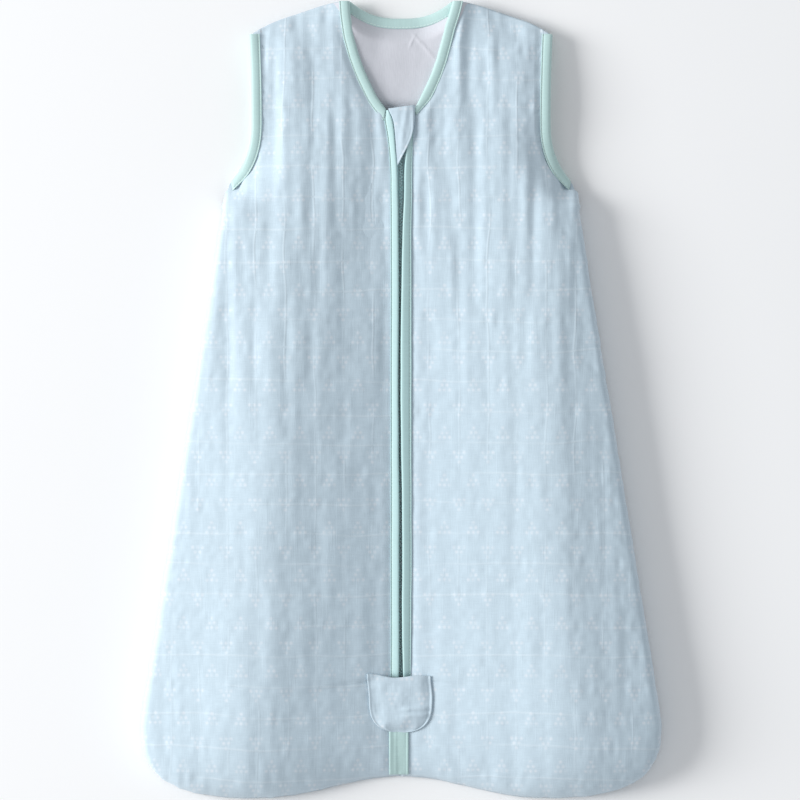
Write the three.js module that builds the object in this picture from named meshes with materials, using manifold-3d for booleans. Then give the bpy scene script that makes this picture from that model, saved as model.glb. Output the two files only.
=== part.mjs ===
// A baby sleeping bag, closed and lying on its back: the front is up (+Z) and the neck points to +Y.
// Lengths are millimetres. The origin is the middle of the bag on the surface that it lies on.
// Left is -X and right is +X, as the bag is seen from the front.

import * as THREE from 'three';
import { mergeVertices } from 'three/addons/utils/BufferGeometryUtils.js';
import Module from 'manifold-3d';

const wasm = await Module();
wasm.setup();

// Outline of the bag
const bagLength = 714;
const footHalfWidth = 232;
const footRise = 68;
const hemLobe = 126;
const hemArch = 19;
const hemCornerPower = 2.9;
const underarmHalfWidth = 155;
const underarmDrop = 164;
const armholeHalfWidth = 134;
const armholeCurve = 57;
const shoulderHalfWidth = 136;
const shoulderDrop = 31;
const shoulderBow = 5;
const neckHalfWidth = 46;
const backNeckDrop = 14;
const frontNeckDrop = 93;
const frontNeckHalfWidth = 12;

// Heights of the lying bag
const zipHeight = 14;
const footCrest = 46;
const waistCrest = 38;
const underarmCrest = 27;
const chestCrest = 22;
const shoulderRaise = 6;
const shoulderRaiseReach = 86;
const backNeckFlat = 14;
const armholeGape = 8;
const underarmRise = 25;

// Shape of the swell of each half of the front, as shares and powers
const crestShare = 0.56;
const innerSwellPower = 1.6;
const outerSwellPower = 2.6;
const outerSwellRoot = 0.7;
const openingSwellShare = 0.11;

// Cloth
const panelThickness = 1.8;
const liningThickness = 0.8;
const clothGap = 0.3;
const seamAllowance = 8;
const seamRoll = 14;
const liningTuck = 1;
const liftReach = 16;

// Bindings
const bindingWidth = 10;
const bindingWall = 0.8;
const bindingRound = 0.5;
const slotEase = 0.4;
const neckFoldDrop = 31;

// Zip
const zipBindingWidth = 8;
const zipGap = 3.2;
const zipSplay = 9.4;
const zipSplayReach = 94;
const tapeThickness = 0.6;
const tapeWidth = 9;
const tapeStep = 3;
const toothRowWidth = 1.9;
const toothSpine = 0.7;
const toothOverlap = 0.5;
const toothPitch = 6;
const toothLength = 2.4;
const toothThickness = 2;
const runningGap = 0.4;
const sliderLength = 9;
const sliderHalfWidth = 3.6;
const sliderPlate = 1.2;
const sliderFlange = 1;
const sliderPost = 1.2;
const bridgeWidth = 2.4;
const bridgeBar = 0.8;
const bridgeSpan = 2.4;
const pullWidth = 5;
const pullLength = 20;
const pullThickness = 0.8;
const pullEye = 3.4;
const retainerLength = 8;
const endStopLength = 2;
const pocketRise = 107;
const pocketHalfWidth = 29;
const pocketLength = 51;
const pocketClothThickness = 1.4;
const pocketMouthDip = 3;
const pocketSeat = 0.7;
const lowerZipLength = 20;
const seamCloseLength = 15;
const tailHalfWidth = 8.6;
const tailThickness = 1.2;
const guardLength = 52;
const guardHalfWidth = 11.7;
const guardTipOffset = 2.7;
const guardThickness = 1.4;
const guardRise = 0.7;
const guardSeam = 4.5;

// Places that follow from the sizes above
const top = bagLength / 2;
const hemLow = -top;
const hemCentre = hemLow + hemArch;
const widestY = hemLow + footRise;
const underarmY = top - underarmDrop;
const bindingProud = bindingWall + clothGap;
const neckPointY = top - bindingProud;
const tipY = top - shoulderDrop;
const zipTopY = top - frontNeckDrop;
const mouthY = hemLow + pocketRise;
const pocketBottomY = mouthY - pocketLength;
const lowerZipEndY = mouthY - lowerZipLength;
const seamClosedY = lowerZipEndY - seamCloseLength;
const halfGap = clothGap / 2;
const slotDepth = bindingWidth - bindingProud;

// Heights that follow: each is the underside of a panel, unless its name says otherwise
const rimHeight = panelThickness + clothGap;
const backLift = bindingWall + slotEase;
const bindingInner = liningThickness + clothGap + slotEase + bindingWall;
const backBindingTop = backLift + panelThickness + bindingInner;
const frontAtUnderarm = backBindingTop + clothGap + bindingInner;
const frontAtNeckPoint = shoulderRaise + frontAtUnderarm;
const zipBindingFloor = zipHeight + toothThickness / 2 + runningGap + sliderPlate + runningGap;
const frontAtZip = zipBindingFloor + bindingWall + slotEase;
const zipBindingTop = frontAtZip + panelThickness + slotEase + bindingWall;
const foldHeightLow = zipBindingTop;
const foldHeightHigh = frontAtNeckPoint + panelThickness + bindingProud;
const foldToPanel = foldHeightLow - frontAtZip;

// Finishes
const muslin = new THREE.MeshStandardMaterial({ color: 0xc6d6e1, roughness: 0.95, metalness: 0 });
const mint = new THREE.MeshStandardMaterial({ color: 0xb9ddd5, roughness: 0.8, metalness: 0 });
const jersey = new THREE.MeshStandardMaterial({ color: 0xc9c9d6, roughness: 0.9, metalness: 0 });
const tapeCloth = new THREE.MeshStandardMaterial({ color: 0x93b3b8, roughness: 0.85, metalness: 0 });
const plastic = new THREE.MeshStandardMaterial({ color: 0xdfe9ea, roughness: 0.45, metalness: 0 });

const bag = new THREE.Group();

const mix = (a, b, share) => a + (b - a) * share;
const clampShare = (value) => Math.min(1, Math.max(0, value));
const smooth = (value) => clampShare(value) ** 2 * (3 - 2 * clampShare(value));
function rowsBetween(from, to, count) {
  return Array.from({ length: count }, (_, k) => mix(from, to, (k + 1) / count));
}

function addPiece(name, geometry, material) {
  const mesh = new THREE.Mesh(geometry, material);
  mesh.name = name;
  bag.add(mesh);
  return mesh;
}

// A closed body from points and triangles, turned so that its faces point out.
function closedBody(points, triangles) {
  let volume = 0;
  for (const [a, b, c] of triangles) {
    volume += points[a].dot(new THREE.Vector3().crossVectors(points[b], points[c]));
  }
  const turned = volume < 0 ? triangles.map(([a, b, c]) => [a, c, b]) : triangles;
  const geometry = new THREE.BufferGeometry();
  geometry.setAttribute('position', new THREE.Float32BufferAttribute(points.flatMap((p) => p.toArray()), 3));
  geometry.setIndex(turned.flat());
  return geometry;
}

// A sheet of cloth: grid[row][column] is its underside, and it has the same thickness all over.
function sheet(grid, thickness, drop = 0) {
  const rows = grid.length;
  const columns = grid[0].length;
  const under = grid.flat().map((p) => new THREE.Vector3(p.x, p.y, p.z - drop));
  const over = under.map((p) => new THREE.Vector3(p.x, p.y, p.z + thickness));
  const points = [...under, ...over];
  const upper = under.length;
  const at = (row, column) => row * columns + column;
  const triangles = [];
  for (let row = 0; row + 1 < rows; row += 1) {
    for (let column = 0; column + 1 < columns; column += 1) {
      const [a, b] = [at(row, column), at(row, column + 1)];
      const [c, d] = [at(row + 1, column + 1), at(row + 1, column)];
      triangles.push([a + upper, b + upper, c + upper], [a + upper, c + upper, d + upper]);
      triangles.push([a, c, b], [a, d, c]);
    }
  }
  const rim = [];
  for (let column = 0; column + 1 < columns; column += 1) rim.push(at(0, column));
  for (let row = 0; row + 1 < rows; row += 1) rim.push(at(row, columns - 1));
  for (let column = columns - 1; column > 0; column -= 1) rim.push(at(rows - 1, column));
  for (let row = rows - 1; row > 0; row -= 1) rim.push(at(row, 0));
  rim.forEach((a, k) => {
    const b = rim[(k + 1) % rim.length];
    triangles.push([a, b, b + upper], [a, b + upper, a + upper]);
  });
  return closedBody(points, triangles);
}

// A strip whose section is carried from station to station. A station has a corner point, a
// direction into the cloth, a direction out of it, and the section's own points there.
function strip(stations) {
  const points = stations.flatMap(({ corner, into, out, section }) => section.map(([a, b]) => (
    corner.clone().addScaledVector(into, a).addScaledVector(out, b))));
  const count = stations[0].section.length;
  const triangles = [];
  for (let k = 0; k + 1 < stations.length; k += 1) {
    for (let i = 0; i < count; i += 1) {
      const [a, b] = [k * count + i, k * count + ((i + 1) % count)];
      triangles.push([a, b, b + count], [a, b + count, a + count]);
    }
  }
  [0, stations.length - 1].forEach((k) => {
    const outline = stations[k].section.map(([a, b]) => new THREE.Vector2(a, b));
    const winding = Math.sign(THREE.ShapeUtils.area(outline));
    THREE.ShapeUtils.triangulateShape(outline, []).forEach((corners) => {
      const turn = winding * THREE.ShapeUtils.area(corners.map((i) => outline[i]));
      const [p, q, r] = corners.map((i) => k * count + i);
      triangles.push((k === 0) === (turn > 0) ? [p, r, q] : [p, q, r]);
    });
  });
  return closedBody(points, triangles);
}

// The folded section of a binding round a stack of cloth. a runs from the cloth's edge into it,
// and b outward from the panel's inner face.
function foldedSection(inner, lip, roomInside) {
  const low = -(roomInside + slotEase);
  const high = panelThickness + slotEase;
  const [floor, ceiling] = [low - bindingWall, high + bindingWall];
  return [
    [lip, low], [lip, floor + bindingRound], [lip - bindingRound, floor], [inner, floor],
    [-bindingProud, floor + bindingRound], [-bindingProud, ceiling - bindingRound], [inner, ceiling],
    [lip - bindingRound, ceiling], [lip, ceiling - bindingRound], [lip, high],
    [-clothGap, high], [-clothGap, low],
  ];
}

// The outline, for x over zero
function hemCorner(angle) {
  const power = 2 / hemCornerPower;
  const x = hemLobe + (footHalfWidth - hemLobe) * Math.cos(angle) ** power;
  return [x, widestY - footRise * Math.sin(angle) ** power];
}

const hemStraightShare = 0.6;
function hemAt(share, startX) {
  if (share > hemStraightShare) {
    const turnShare = (share - hemStraightShare) / (1 - hemStraightShare);
    return hemCorner((Math.PI / 2) * (1 - turnShare / 2));
  }
  const x = mix(startX, hemLobe, share / hemStraightShare);
  return [x, hemLow + hemArch * (0.5 + 0.5 * Math.cos((Math.PI * x) / hemLobe))];
}

// Shares of the way from the hem to the shoulder
const clothLength = neckPointY - hemCentre;
const shareAt = (y) => (y - hemCentre) / clothLength;
const widestShare = shareAt(seamClosedY);
const underarmShare = shareAt(underarmY);
const underarmRiseShare = underarmRise / clothLength;
const hemInsetShares = [seamAllowance / clothLength, seamRoll / clothLength];

function armholeX(y) {
  const curveShare = clampShare((y - underarmY) / armholeCurve);
  const upperShare = clampShare((y - underarmY - armholeCurve) / (tipY - underarmY - armholeCurve));
  const curved = armholeHalfWidth + (underarmHalfWidth - armholeHalfWidth) * (1 - curveShare) ** 2;
  return curved + (shoulderHalfWidth - armholeHalfWidth) * upperShare ** 2 - bindingProud;
}

function sideAt(share) {
  if (share < widestShare) return hemCorner((Math.PI / 4) * (1 - share / widestShare));
  if (share < underarmShare) {
    const upShare = (share - widestShare) / (underarmShare - widestShare);
    return [mix(footHalfWidth, underarmHalfWidth - bindingProud, upShare), mix(widestY, underarmY, upShare)];
  }
  const y = mix(underarmY, tipY, (share - underarmShare) / (1 - underarmShare));
  return [armholeX(y), y];
}

const armholeShareAt = (share) => clampShare((share - underarmShare) / (1 - underarmShare));
const nearArmhole = (share) => smooth((share - underarmShare) / underarmRiseShare + 1);

function shoulderAt(share, startX, startY) {
  const [tipX] = sideAt(1);
  const bow = shoulderBow * (1 - (2 * share - 1) ** 4);
  return [mix(startX, tipX, share), mix(startY, tipY, share) + bow];
}

// A point of a four-sided patch of cloth between its hem, shoulder, inner and side edges.
function between(edges, across, along) {
  const { hem, shoulder, inner, side } = edges;
  const [h, t, l, r] = [hem(across), shoulder(across), inner(along), side(along)];
  const [hl, hr, tl, tr] = [hem(0), hem(1), shoulder(0), shoulder(1)];
  return h.map((_, k) => mix(h[k], t[k], along) + mix(l[k], r[k], across)
    - mix(mix(hl[k], tl[k], along), mix(hr[k], tr[k], along), across));
}

// Back of the bag
const neckPointShare = 0.34;
function raiseAt(x, y) {
  const beyondFlat = smooth((Math.abs(x) - backNeckFlat) / (neckHalfWidth - backNeckFlat));
  return shoulderRaise * beyondFlat * smooth((y - top + shoulderRaiseReach) / shoulderRaiseReach);
}
const backNeckY = top - backNeckDrop - bindingProud;

function backTopAt(share) {
  if (share > neckPointShare) {
    return shoulderAt((share - neckPointShare) / (1 - neckPointShare), neckHalfWidth, neckPointY);
  }
  const neckShare = share / neckPointShare;
  return [neckHalfWidth * neckShare, mix(backNeckY, neckPointY, neckShare ** 2)];
}

const backEdges = {
  hem: (share) => hemAt(share, 0),
  shoulder: backTopAt,
  inner: (share) => [0, mix(hemCentre, backNeckY, share)],
  side: sideAt,
};

const backColumnShares = [0, 0.11, 0.225, neckPointShare, 0.5, 0.66, 0.8];
const lapelTopY = top - neckFoldDrop;
const armholeRowShares = [
  ...rowsBetween(underarmShare, shareAt(lapelTopY), 5), 1 - (slotDepth * 2) / clothLength,
];
const bodyRowShares = rowsBetween(widestShare, underarmShare - underarmRiseShare, 5);
const backRowShares = [
  0, ...hemInsetShares, mix(hemInsetShares[1], widestShare, 0.5), widestShare, ...bodyRowShares,
  underarmShare, ...armholeRowShares,
];

// How far in from the side or from the top the last three lines of a cloth's grid lie.
function sideInsets(share) {
  const bound = share >= underarmShare;
  return bound ? [slotDepth, liningTuck, 0] : [seamRoll, seamAllowance, 0];
}

const topInsets = (bound) => (bound ? [slotDepth, liningTuck, 0] : [seamRoll, seamAllowance, 0]);

function backGrid() {
  const columns = [...backColumnShares, 'roll', 'allowance', 'edge'];
  const rows = [...backRowShares, 'roll', 'allowance', 'edge'];
  const lineNames = ['roll', 'allowance', 'edge'];
  return rows.map((row) => columns.map((column) => {
    const columnShare = typeof column === 'number' ? column : 1;
    const topInset = topInsets(columnShare <= neckPointShare)[lineNames.indexOf(row)];
    const along = typeof row === 'number' ? row : 1 - topInset / clothLength;
    const sideInset = sideInsets(along)[lineNames.indexOf(column)];
    const width = sideAt(along)[0];
    const across = typeof column === 'number' ? column : 1 - sideInset / width;
    const [x, y] = between(backEdges, across, along);
    const armInset = (1 - across) * width;
    const neckInset = (1 - along) * clothLength;
    const edgeLift = (inset) => smooth(1 - (inset - slotDepth) / liftReach);
    const neckLift = columnShare <= neckPointShare ? edgeLift(neckInset) : 0;
    const lift = backLift * Math.max(nearArmhole(along) * edgeLift(armInset), neckLift);
    return new THREE.Vector3(x, y, lift + raiseAt(x, y));
  }));
}

const mirrored = (p) => new THREE.Vector3(-p.x, p.y, p.z);
const mirroredGrid = (grid) => grid.map((row) => row.map(mirrored).reverse());
const wholeGrid = (grid) => grid.map((row) => [...row.slice(1).map(mirrored).reverse(), ...row]);

const backHalf = backGrid();
const backWhole = wholeGrid(backHalf);
const insideSeams = (grid) => grid.slice(1, -1).map((row) => row.slice(1, -1));

addPiece('back_panel', sheet(backWhole, panelThickness), muslin);
addPiece('back_lining', sheet(insideSeams(backWhole), liningThickness, -rimHeight), jersey);

// Front of the bag. Its two halves open along a straight fold from the pocket's mouth to the
// neck point, and each half's zip edge is straight up to where the two edges spread.
const foldStart = new THREE.Vector3(frontNeckHalfWidth, mouthY, foldHeightLow);
const foldEnd = new THREE.Vector3(neckHalfWidth, neckPointY, foldHeightHigh);
const foldAt = (y) => foldStart.clone().lerp(foldEnd, (y - foldStart.y) / (foldEnd.y - foldStart.y));
const zipEdgeAt = (y) => zipGap / 2 + zipSplay * clampShare((y - zipTopY) / zipSplayReach + 1) ** 2;

// The free edge of the front neck, from the top of the zip to the neck point
const neckBendShares = [0.76, 0.44];
const neckBend = new THREE.QuadraticBezierCurve(
  new THREE.Vector2(frontNeckHalfWidth, zipTopY),
  new THREE.Vector2(
    mix(frontNeckHalfWidth, neckHalfWidth, neckBendShares[0]),
    mix(zipTopY, neckPointY, neckBendShares[1]),
  ),
  new THREE.Vector2(neckHalfWidth, neckPointY),
);

function innerEdgeAt(share) {
  const y = mix(hemCentre, neckPointY, share);
  if (y > mouthY) return [foldAt(y).x + halfGap, y, foldAt(y).z - foldToPanel];
  const x = mix(0, foldStart.x, clampShare((y - seamClosedY) / (mouthY - seamClosedY))) + halfGap;
  return [x, y, mix(rimHeight, frontAtZip, smooth((y - hemCentre) / (seamClosedY - hemCentre)))];
}

// Under the pocket the cloth reaches past the line of the fold, into the binding of the zip.
const isBesideLowerZip = (y) => y > seamClosedY + clothGap && y < mouthY + halfGap;
function reachIntoBinding(row) {
  if (isBesideLowerZip(row[0].y)) row[0].setX(zipGap / 2 + bindingProud);
  return row;
}

function frontSideAt(share) {
  const [x, y] = sideAt(share);
  const upShare = armholeShareAt(share);
  const tipHeight = raiseAt(...sideAt(1)) + frontAtUnderarm;
  const armholeHeight = mix(frontAtUnderarm, tipHeight, upShare) + armholeGape * Math.sin(Math.PI * upShare);
  return [x, y, mix(rimHeight, armholeHeight, nearArmhole(share))];
}

function frontShoulderAt(share) {
  const [x, y] = shoulderAt(share, neckHalfWidth + halfGap, neckPointY);
  const ends = mix(foldHeightHigh - foldToPanel, frontSideAt(1)[2], share);
  const seated = raiseAt(x, y) + rimHeight;
  return [x, y, mix(ends, seated, 1 - (2 * share - 1) ** 2)];
}

const frontEdges = {
  hem: (share) => [...hemAt(share, halfGap), rimHeight],
  shoulder: frontShoulderAt,
  inner: innerEdgeAt,
  side: frontSideAt,
};

// The crest of each half of the front, from the hem to the shoulder
const crestLine = [
  [0, rimHeight], [0.03, footCrest * 0.52], [0.07, footCrest * 0.83], [0.14, footCrest],
  [0.3, mix(footCrest, waistCrest, 0.4)], [0.54, waistCrest], [underarmShare, underarmCrest],
  [mix(underarmShare, 1, 0.5), chestCrest], [1, rimHeight],
];
function crestAt(share) {
  const k = crestLine.findIndex(([end]) => share <= end);
  if (k < 1) return crestLine[0][1];
  const [[from, low], [to, high]] = [crestLine[k - 1], crestLine[k]];
  return mix(low, high, (share - from) / (to - from));
}

// The swell across one half: none at the fold, full at the crest, none again at the side
function swellAt(across, along) {
  if (across < crestShare) return 1 - (1 - across / crestShare) ** innerSwellPower;
  const outerShare = (across - crestShare) / (1 - crestShare);
  const full = Math.max(0, 1 - outerShare ** outerSwellPower) ** outerSwellRoot;
  return mix(full, 0.5 + 0.5 * Math.cos(Math.PI * outerShare), nearArmhole(along));
}

// Between its edge and the lip of the binding, a bound cloth is flat across.
function flatInBinding(row, along) {
  if (along < underarmShare) return row;
  const [lip, tuck, edge] = row.slice(-3);
  tuck.copy(edge).lerp(lip, liningTuck / slotDepth);
  return row;
}

const frontColumnShares = [
  ...[0, 0.1, 0.24, 0.42, 0.68, 1].map((share) => share * crestShare),
  ...[0.27, 0.5, 0.7].map((share) => mix(crestShare, 1, share)),
];
const mouthShare = shareAt(mouthY);
const foldStepShare = clothGap / clothLength;
const frontRowShares = [
  0, ...hemInsetShares, mix(hemInsetShares[1], widestShare, 0.33), mix(hemInsetShares[1], widestShare, 0.66),
  widestShare, shareAt(lowerZipEndY), mouthShare, mouthShare + foldStepShare,
  ...rowsBetween(mouthShare + foldStepShare, underarmShare - underarmRiseShare, 7), underarmShare,
  ...armholeRowShares,
];

function frontGrid() {
  const columns = [...frontColumnShares, 'roll', 'allowance', 'edge'];
  const rows = [...frontRowShares, 'roll', 'allowance', 'edge'];
  const lineNames = ['roll', 'allowance', 'edge'];
  return rows.map((row) => {
    const topInset = topInsets(false)[lineNames.indexOf(row)];
    const along = typeof row === 'number' ? row : 1 - topInset / clothLength;
    const width = frontEdges.side(along)[0] - frontEdges.inner(along)[0];
    const [, , sideHeight] = frontEdges.side(along);
    const [, , innerHeight] = frontEdges.inner(along);
    const swell = Math.max(0, crestAt(along) - mix(innerHeight, sideHeight, crestShare));
    return reachIntoBinding(flatInBinding(columns.map((column) => {
      const sideInset = sideInsets(along)[lineNames.indexOf(column)];
      const across = typeof column === 'number' ? column : 1 - sideInset / width;
      const [x, y, z] = between(frontEdges, across, along);
      const hemInset = Math.min(along, 1 - along) * clothLength;
      const inset = Math.min((1 - across) * width + nearArmhole(along) * width, hemInset);
      const rolled = rimHeight + (liningThickness + clothGap) * 2 * clampShare(inset / seamAllowance);
      const floor = raiseAt(x, y) + rolled;
      return new THREE.Vector3(x, y, Math.max(z + swell * swellAt(across, along), floor));
    }), along));
  });
}

const frontRight = frontGrid();
const liningStartX = zipGap / 2 + zipBindingWidth + bindingWall;
const frontLining = frontRight.slice(1, -1).map((row) => {
  const [first, second] = row;
  const shift = isBesideLowerZip(first.y) ? (liningStartX - first.x) / (second.x - first.x) : 0;
  const start = first.clone().lerp(second, shift);
  return [start, ...row.slice(1, -1)];
});
addPiece('front_panel_right', sheet(frontRight, panelThickness), muslin);
addPiece('front_panel_left', sheet(mirroredGrid(frontRight), panelThickness), muslin);
addPiece('front_lining_right', sheet(frontLining, liningThickness, liningThickness + clothGap), jersey);
addPiece(
  'front_lining_left',
  sheet(mirroredGrid(frontLining), liningThickness, liningThickness + clothGap),
  jersey,
);

// The opening halves between the folds and the zip
const lapelBottomY = mouthY + 2 * clothGap;
const zipBindingTopY = zipTopY - clothGap;

function neckEdgeAt(y) {
  const share = clampShare((y - zipTopY) / (neckPointY - zipTopY));
  let [low, high] = [0, 1];
  for (let step = 0; step < 30; step += 1) {
    const middle = (low + high) / 2;
    if (neckBend.getPoint(middle).y < mix(zipTopY, neckPointY, share)) low = middle;
    else high = middle;
  }
  return neckBend.getPoint((low + high) / 2).x;
}

// One row of an opening half: its free edge, the lip of its binding, its swell and the fold
const boundWidthShare = 0.9;
function lapelRow(y, swellShare = openingSwellShare) {
  const outer = foldAt(y);
  const flatEnd = zipEdgeAt(Math.min(y, zipTopY)) + zipBindingWidth + bindingWall;
  const inner = (y > zipTopY ? neckEdgeAt(y) : zipEdgeAt(y)) + bindingProud;
  const right = outer.x - halfGap;
  const lip = y > zipTopY ? inner + slotDepth : flatEnd;
  const second = Math.min(lip, mix(inner, right, boundWidthShare));
  const slopeWidth = Math.max(outer.x - flatEnd, clothGap);
  const heightAt = (x) => mix(outer.z - foldToPanel, frontAtZip, clampShare((outer.x - x) / slopeWidth));
  const swell = swellShare * (right - second);
  return [[inner, 0], [second, 0], [mix(second, right, 0.5), swell], [right, 0]]
    .map(([x, raised]) => new THREE.Vector3(x, y, heightAt(x) + raised));
}

function alongRow(row, x) {
  const k = Math.max(1, row.findIndex((p) => p.x >= x));
  const [a, b] = [row[k - 1], row[k]];
  return new THREE.Vector3(x, a.y, mix(a.z, b.z, (x - a.x) / (b.x - a.x)));
}

const neckRowYs = [zipTopY + clothGap, ...rowsBetween(zipTopY + clothGap, lapelTopY, 7)];
const lapelRowYs = [
  lapelBottomY, ...rowsBetween(lapelBottomY, zipTopY - zipSplayReach, 6),
  ...rowsBetween(zipTopY - zipSplayReach, zipBindingTopY, 5), ...neckRowYs,
];
const lapelRight = lapelRowYs.map((y) => lapelRow(y));
const liningStartAt = (y) => (y > zipTopY + halfGap ? neckEdgeAt(y) + bindingProud + liningTuck
  : zipEdgeAt(y) + zipBindingWidth + bindingWall);
const lapelLiningYs = lapelRowYs.map((y) => (y === zipBindingTopY ? zipTopY - halfGap : y));
const lapelLiningRight = lapelLiningYs.map((y) => {
  const row = lapelRow(y, 0);
  const right = row[row.length - 1].x;
  const start = Math.min(liningStartAt(y), right - clothGap);
  return [start, mix(start, right, 0.5), right].map((x) => alongRow(row, x));
});

const neckStations = neckRowYs.map((y) => {
  const [edge, second] = lapelRow(y);
  const into = second.clone().sub(edge);
  const lip = Math.min(slotDepth, into.x) - clothGap;
  into.divideScalar(into.x);
  return {
    corner: edge,
    into,
    out: new THREE.Vector3(0, 0, 1),
    section: foldedSection(0, Math.max(lip, 2 * bindingRound), liningThickness + clothGap),
  };
});

const zipBindingStations = (ys) => ys.map((y) => ({
  corner: new THREE.Vector3(zipEdgeAt(y) + bindingProud, y, frontAtZip),
  into: new THREE.Vector3(1, 0, 0),
  out: new THREE.Vector3(0, 0, 1),
  section: foldedSection(0, zipBindingWidth - bindingProud, 0),
}));
const zipRowYs = lapelRowYs.filter((y) => y <= zipBindingTopY);

// The tape starts beside the teeth, inside the slider, and rises to the underside of the binding.
const tapeStart = toothRowWidth + clothGap;
const tapeStations = (ys) => ys.map((y) => {
  const outer = zipEdgeAt(y) + tapeWidth;
  const [flat, risen] = [sliderHalfWidth + runningGap, sliderHalfWidth + runningGap + tapeStep];
  const low = zipHeight - tapeThickness / 2;
  const high = zipBindingFloor - clothGap - tapeThickness;
  return {
    corner: new THREE.Vector3(0, y, 0),
    into: new THREE.Vector3(1, 0, 0),
    out: new THREE.Vector3(0, 0, 1),
    section: [
      [tapeStart, low], [flat, low], [risen, high], [outer, high], [outer, high + tapeThickness],
      [risen, high + tapeThickness], [flat, low + tapeThickness], [tapeStart, low + tapeThickness],
    ],
  };
});

// A row of teeth on its spine, drawn from above and given the teeth's thickness
const sliderTopY = mouthY + clothGap;
const zipEndY = zipTopY - guardSeam - retainerLength;
function toothRow(fromY, toY, offset) {
  const outline = new THREE.Shape();
  outline.moveTo(toothRowWidth, fromY);
  outline.lineTo(toothRowWidth - toothSpine, fromY);
  for (let y = fromY + offset; y + toothLength < toY; y += toothPitch) {
    outline.lineTo(toothRowWidth - toothSpine, y);
    outline.lineTo(-toothOverlap, y);
    outline.lineTo(-toothOverlap, y + toothLength);
    outline.lineTo(toothRowWidth - toothSpine, y + toothLength);
  }
  outline.lineTo(toothRowWidth - toothSpine, toY);
  outline.lineTo(toothRowWidth, toY);
  const row = new THREE.ExtrudeGeometry(outline, { depth: toothThickness, bevelEnabled: false });
  return row.translate(0, 0, zipHeight - toothThickness / 2);
}

function mirroredGeometry(geometry) {
  const merged = mergedPositions(geometry);
  const places = merged.getAttribute('position');
  const points = [];
  for (let k = 0; k < places.count; k += 1) {
    points.push(new THREE.Vector3(-places.getX(k), places.getY(k), places.getZ(k)));
  }
  const index = Array.from(merged.getIndex().array);
  const firsts = index.filter((_, k) => k % 3 === 0);
  const triangles = firsts.map((a, k) => [a, index[3 * k + 1], index[3 * k + 2]]);
  return closedBody(points, triangles);
}

function mergedPositions(geometry) {
  const copy = geometry.clone();
  copy.deleteAttribute('normal');
  copy.deleteAttribute('uv');
  return mergeVertices(copy);
}

const tapeRowYs = [lapelBottomY, ...zipRowYs.slice(1)];
const sides = [['left', (geometry) => mirroredGeometry(geometry)], ['right', (geometry) => geometry]];
const toothOffset = { left: toothPitch / 2 + clothGap, right: clothGap };
for (const [side, turned] of sides) {
  addPiece(`opening_panel_${side}`, turned(sheet(lapelRight, panelThickness)), muslin);
  const under = liningThickness + clothGap;
  addPiece(`opening_lining_${side}`, turned(sheet(lapelLiningRight, liningThickness, under)), jersey);
  addPiece(`neck_binding_${side}`, turned(strip(neckStations)), mint);
  addPiece(`zip_binding_${side}`, turned(strip(zipBindingStations(zipRowYs))), mint);
  addPiece(`zip_tape_${side}`, turned(strip(tapeStations(tapeRowYs))), tapeCloth);
  addPiece(`zip_teeth_${side}`, turned(toothRow(lapelBottomY, zipEndY, toothOffset[side])), plastic);
}

// Bindings of the back neck and of the armholes
const lastRow = backHalf.length - 1;
const neckColumns = backColumnShares.indexOf(neckPointShare) + 1;
const backNeckStations = backHalf[lastRow].slice(0, neckColumns).map((edge, column) => {
  const into = backHalf[lastRow - 2][column].clone().sub(edge);
  into.divideScalar(into.length());
  return { edge, into };
});
const mirroredStation = ({ edge, into }) => ({ edge: mirrored(edge), into: mirrored(into) });
const backNeckBoth = [...backNeckStations.slice(1).reverse().map(mirroredStation), ...backNeckStations];
addPiece('neck_binding_back', strip(backNeckBoth.map(({ edge, into }) => ({
  corner: edge.clone().setZ(edge.z + panelThickness),
  into,
  out: new THREE.Vector3(0, 0, -1),
  section: foldedSection(0, slotDepth - clothGap, liningThickness + clothGap),
}))), mint);

function armholeStations() {
  const fromRow = (grid, shares) => grid.slice(shares.indexOf(underarmShare));
  const station = (row, height, upward) => {
    const edge = row[row.length - 1];
    const into = row[row.length - 3].clone().sub(edge);
    into.divideScalar(into.length());
    return {
      corner: edge.clone().setZ(edge.z + height),
      into,
      out: new THREE.Vector3(0, 0, upward),
      section: foldedSection(0, slotDepth - clothGap, liningThickness + clothGap),
    };
  };
  const front = fromRow(frontRight, frontRowShares).map((row) => station(row, 0, 1));
  const back = fromRow(backHalf, backRowShares).map((row) => station(row, panelThickness, -1)).reverse();
  const [frontEnd, backEnd] = [front[front.length - 1], back[0]];
  const turn = [1, 2, 3].map((k) => {
    const angle = (Math.PI * k) / 4;
    const middle = frontEnd.corner.clone().lerp(backEnd.corner, 0.5);
    const radius = (frontEnd.corner.z - backEnd.corner.z) / 2;
    const out = new THREE.Vector3(0, Math.sin(angle), Math.cos(angle));
    return { ...frontEnd, corner: middle.addScaledVector(out, radius), out };
  });
  return [...front, ...turn, ...back];
}

// The neck binding goes on over the shoulder, along the sewn part of the front's neck edge.
const shoulderRows = frontRight.slice(frontRowShares.indexOf(armholeRowShares[armholeRowShares.length - 2]));
const shoulderStations = shoulderRows.map(([edge, second], k) => {
  const into = second.clone().sub(edge);
  into.divideScalar(into.length());
  const corner = edge.clone().addScaledVector(new THREE.Vector3(0, 1, 0), k === 0 ? clothGap : 0);
  const section = foldedSection(0, slotDepth - clothGap, liningThickness + clothGap);
  return { corner, into, out: new THREE.Vector3(0, 0, 1), section };
});

const lowerRows = [shareAt(lowerZipEndY), mouthShare]
  .map((share) => frontRight[frontRowShares.indexOf(share)]);
const lowerBindingStations = lowerRows.map(([edge, second]) => {
  const into = second.clone().sub(edge);
  into.divideScalar(into.x);
  const section = foldedSection(0, zipBindingWidth - bindingProud, 0);
  return { corner: edge, into, out: new THREE.Vector3(0, 0, 1), section };
});

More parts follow.
